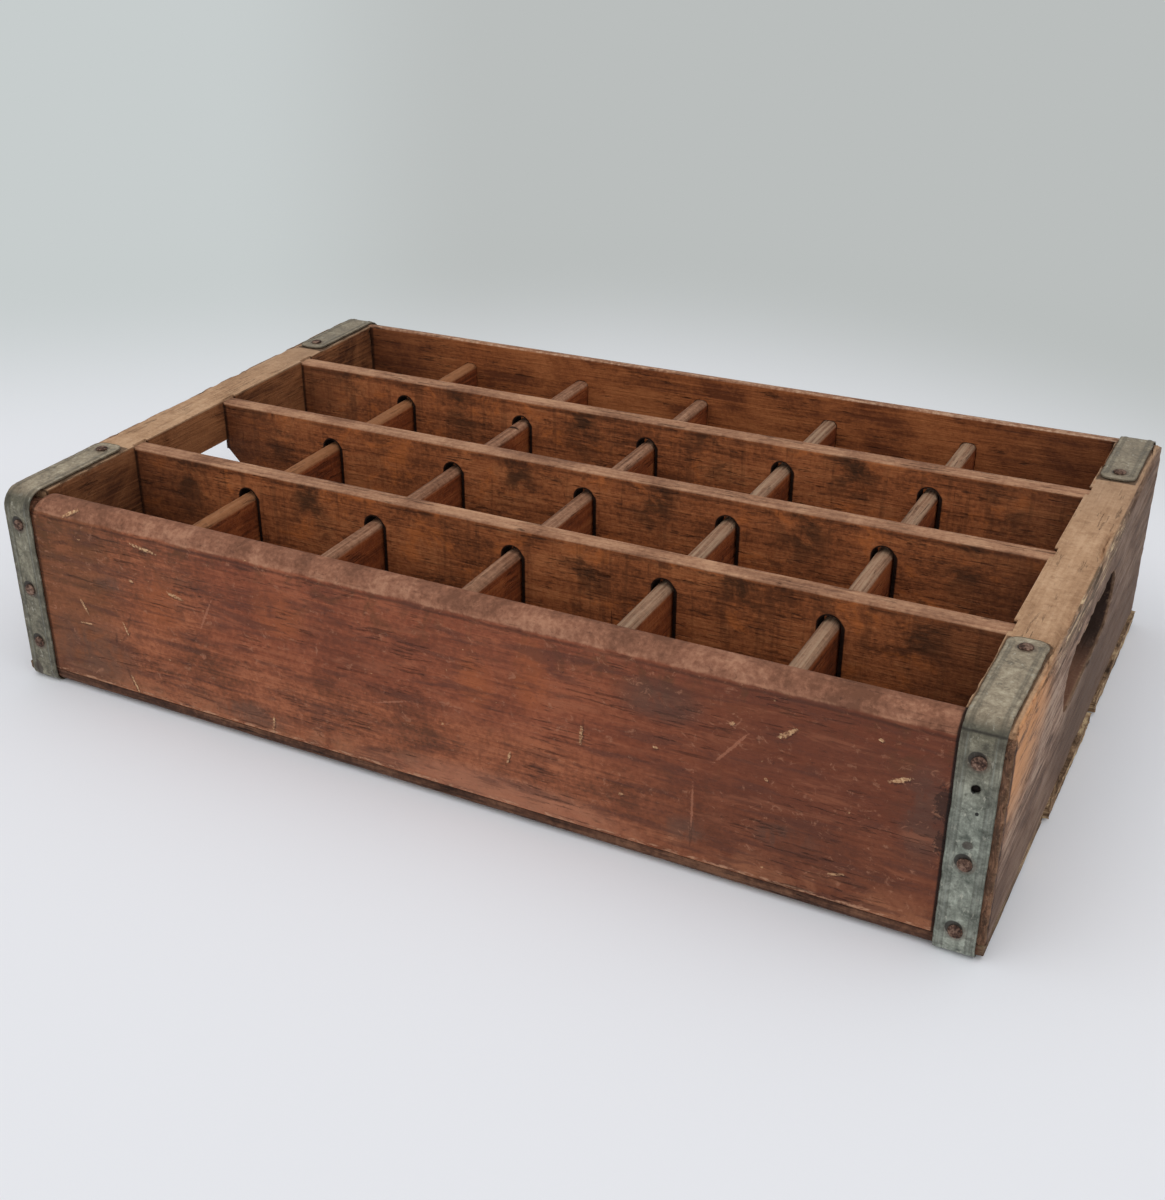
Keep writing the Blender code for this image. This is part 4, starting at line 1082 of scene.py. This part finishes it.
def nail(node, made):
    """A nail turned about its axis, with a domed and uneven head."""
    low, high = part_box(node)
    outward = nail_outward(node)
    length = abs((high - low).dot(outward))
    centre = head_place(node)
    head_radius = (high[X] - low[X]) / 2
    place = Matrix.Translation(centre) @ Vector((0, 0, 1)).rotation_difference(outward).to_matrix().to_4x4()
    sunk = "bottom" in node or "under" in node
    neck = -SUNK_HEAD_DEPTH if sunk else -PROUD_HEAD_DEPTH
    profile = [(share * head_radius, max(height, neck)) for share, height in HEAD_PROFILE]
    if sunk:
        profile = [(0.5 * head_radius, 0), (head_radius, 0)]
    shank = min(SHANK_RADIUS, 0.45 * head_radius)
    profile += [(head_radius, neck), (shank, neck), (shank, POINT_LENGTH - length)]
    bm = bmesh.new()
    rings = []
    for radius, height in profile:
        ring = []
        for side in range(NAIL_SIDES):
            angle = 2 * math.pi * side / NAIL_SIDES
            uneven = 0.97 + 0.05 * noise.noise(centre * 900 + Vector((math.cos(angle), math.sin(angle), 0)))
            spread = radius * min(1, uneven)
            point = Vector((spread * math.cos(angle), spread * math.sin(angle), height))
            ring.append(bm.verts.new(place @ point))
        rings.append(ring)
    first = bm.verts.new(centre)
    last = bm.verts.new(place @ Vector((0, 0, -length)))
    for side in range(NAIL_SIDES):
        after = (side + 1) % NAIL_SIDES
        bm.faces.new((first, rings[0][side], rings[0][after]))
        bm.faces.new((last, rings[-1][after], rings[-1][side]))
        for upper, lower in zip(rings, rings[1:]):
            bm.faces.new((upper[side], lower[side], lower[after], upper[after]))
    bmesh.ops.recalc_face_normals(bm, faces=bm.faces)
    smooth_shading(bm)
    dress(bm, node + "_rusty", "rusted_steel", made, node)


def nails():
    made = rust("rust_finish")
    for node in nail_nodes():
        nail(node, made)


# Stage, light and camera

FLOOR_HALF = 6.0
FLOOR_SHADE = (232, 234, 239)
WALL_SHADE = (186, 190, 189)
LEFT_WALL_SHADE = (199, 205, 205)
AWAY = (-0.423, 0.906)
VIEWER_AWAY = CAMERA_PLACE[X] * AWAY[0] + CAMERA_PLACE[Y] * AWAY[1]
WALL_START, WALL_FULL = 0.25, 0.85
LEFT_WALL_BEARING, WALL_BEARING = -0.25, -0.07
SIDE_SHARE, RIGHT_SHARE = 0.12, 1.3
ZENITH_LIGHT, HORIZON_LIGHT = 1.28, 0.30
FRONT = (0.40, -0.92, 0)
FRONT_SHARE = 0.75
KEY_PLACE = (-0.9, -1.0, 1.9)
KEY_SIZE = 1.8
KEY_POWER = 1.5


def stage():
    """A wide pale floor that turns to the wall's grey with distance."""
    finish = Finish("floor_finish")
    away = finish.maths("MULTIPLY_ADD", finish.x, AWAY[0], finish.times(finish.y, AWAY[1]))
    side = finish.maths("MULTIPLY_ADD", finish.x, AWAY[1], finish.times(finish.y, -AWAY[0]))
    bearing = finish.maths("DIVIDE", side, finish.maths("SUBTRACT", away, VIEWER_AWAY))
    # Painted light: the wall's grey is lighter to the left, towards the light
    wall = finish.lay(LEFT_WALL_SHADE, WALL_SHADE, finish.span(bearing, LEFT_WALL_BEARING, WALL_BEARING))
    distance = finish.maths("MULTIPLY_ADD", finish.maths("ABSOLUTE", side), SIDE_SHARE, away)
    rightward = finish.maths("MAXIMUM", side, 0.0)
    square = finish.times(rightward, rightward)
    distance = finish.maths("MULTIPLY_ADD", square, RIGHT_SHARE, distance)
    far = finish.span(distance, WALL_START, WALL_FULL)
    finish.feed(finish.shader.inputs["Base Color"], finish.lay(FLOOR_SHADE, wall, far))
    finish.shader.inputs["Roughness"].default_value = 0.8
    finish.shader.inputs["Specular IOR Level"].default_value = 0.2
    glow = finish.node("Emission", wall)
    seen = finish.times(far, finish.seen_directly())
    mix = finish.node("MixShader", seen, finish.shader.outputs[0], glow.outputs[0])
    finish.feed(finish.nodes["Material Output"].inputs["Surface"], mix.outputs[0])
    bm = bmesh.new()
    bmesh.ops.create_grid(bm, x_segments=8, y_segments=8, size=FLOOR_HALF)
    floor = add_mesh("floor", bm, finish.material)


def world():
    """Soft light that is strongest from above and in front, behind the wall's plain grey."""
    made = bpy.data.worlds.new("studio")
    bpy.context.scene.world = made
    made.use_nodes = True
    graph = Graph(made.node_tree)
    graph.nodes.clear()
    direction = graph.node("TexCoord").outputs["Generated"]
    height = graph.node("SeparateXYZ", direction).outputs[Z]
    upward = graph.node("MapRange", height, 0, 1, HORIZON_LIGHT, ZENITH_LIGHT).outputs[0]
    forward = graph.vector_maths("DOT_PRODUCT", direction, FRONT)
    strength = graph.maths("MULTIPLY", upward, graph.maths("MULTIPLY_ADD", forward, FRONT_SHARE, 1))
    light = graph.node("Background", (1, 1, 1, 1), strength)
    wall = graph.node("Background", colour(*WALL_SHADE))
    mix = graph.node("MixShader", graph.seen_directly(), light.outputs[0], wall.outputs[0])
    graph.node("OutputWorld", mix.outputs[0])


def key_light():
    """A large, weak lamp to the left in front."""
    data = bpy.data.lights.new("key_light", "AREA")
    data.shape = "SQUARE"
    data.size = KEY_SIZE
    data.energy = KEY_POWER
    lamp = add("key_light", data)
    lamp.location = KEY_PLACE
    lamp.rotation_mode = "QUATERNION"
    lamp.rotation_quaternion = (-Vector(KEY_PLACE)).to_track_quat("-Z", "Y")


def camera():
    """The camera at the photograph's viewing angle."""
    cos_up = math.cos(CAMERA_ELEVATION)
    forward = Vector((math.sin(CAMERA_AZIMUTH) * cos_up, math.cos(CAMERA_AZIMUTH) * cos_up,
                      -math.sin(CAMERA_ELEVATION)))
    level_right = forward.cross(Vector((0, 0, 1))).normalized()
    level_up = level_right.cross(forward)
    cos_roll, sin_roll = math.cos(CAMERA_ROLL), math.sin(CAMERA_ROLL)
    right = cos_roll * level_right + sin_roll * level_up
    up = cos_roll * level_up - sin_roll * level_right
    data = bpy.data.cameras.new("camera")
    data.sensor_fit = "HORIZONTAL"
    data.sensor_width = CAMERA_SENSOR
    data.lens = CAMERA_LENS
    data.shift_x, data.shift_y = CAMERA_SHIFT
    made = add("camera", data)
    turn = Matrix((right, up, -forward)).transposed()
    made.matrix_world = Matrix.Translation(CAMERA_PLACE) @ turn.to_4x4()
    bpy.context.scene.camera = made


bpy.context.scene.view_settings.view_transform = "Standard"
boards()
straps()
nails()
stage()
world()
key_light()
camera()
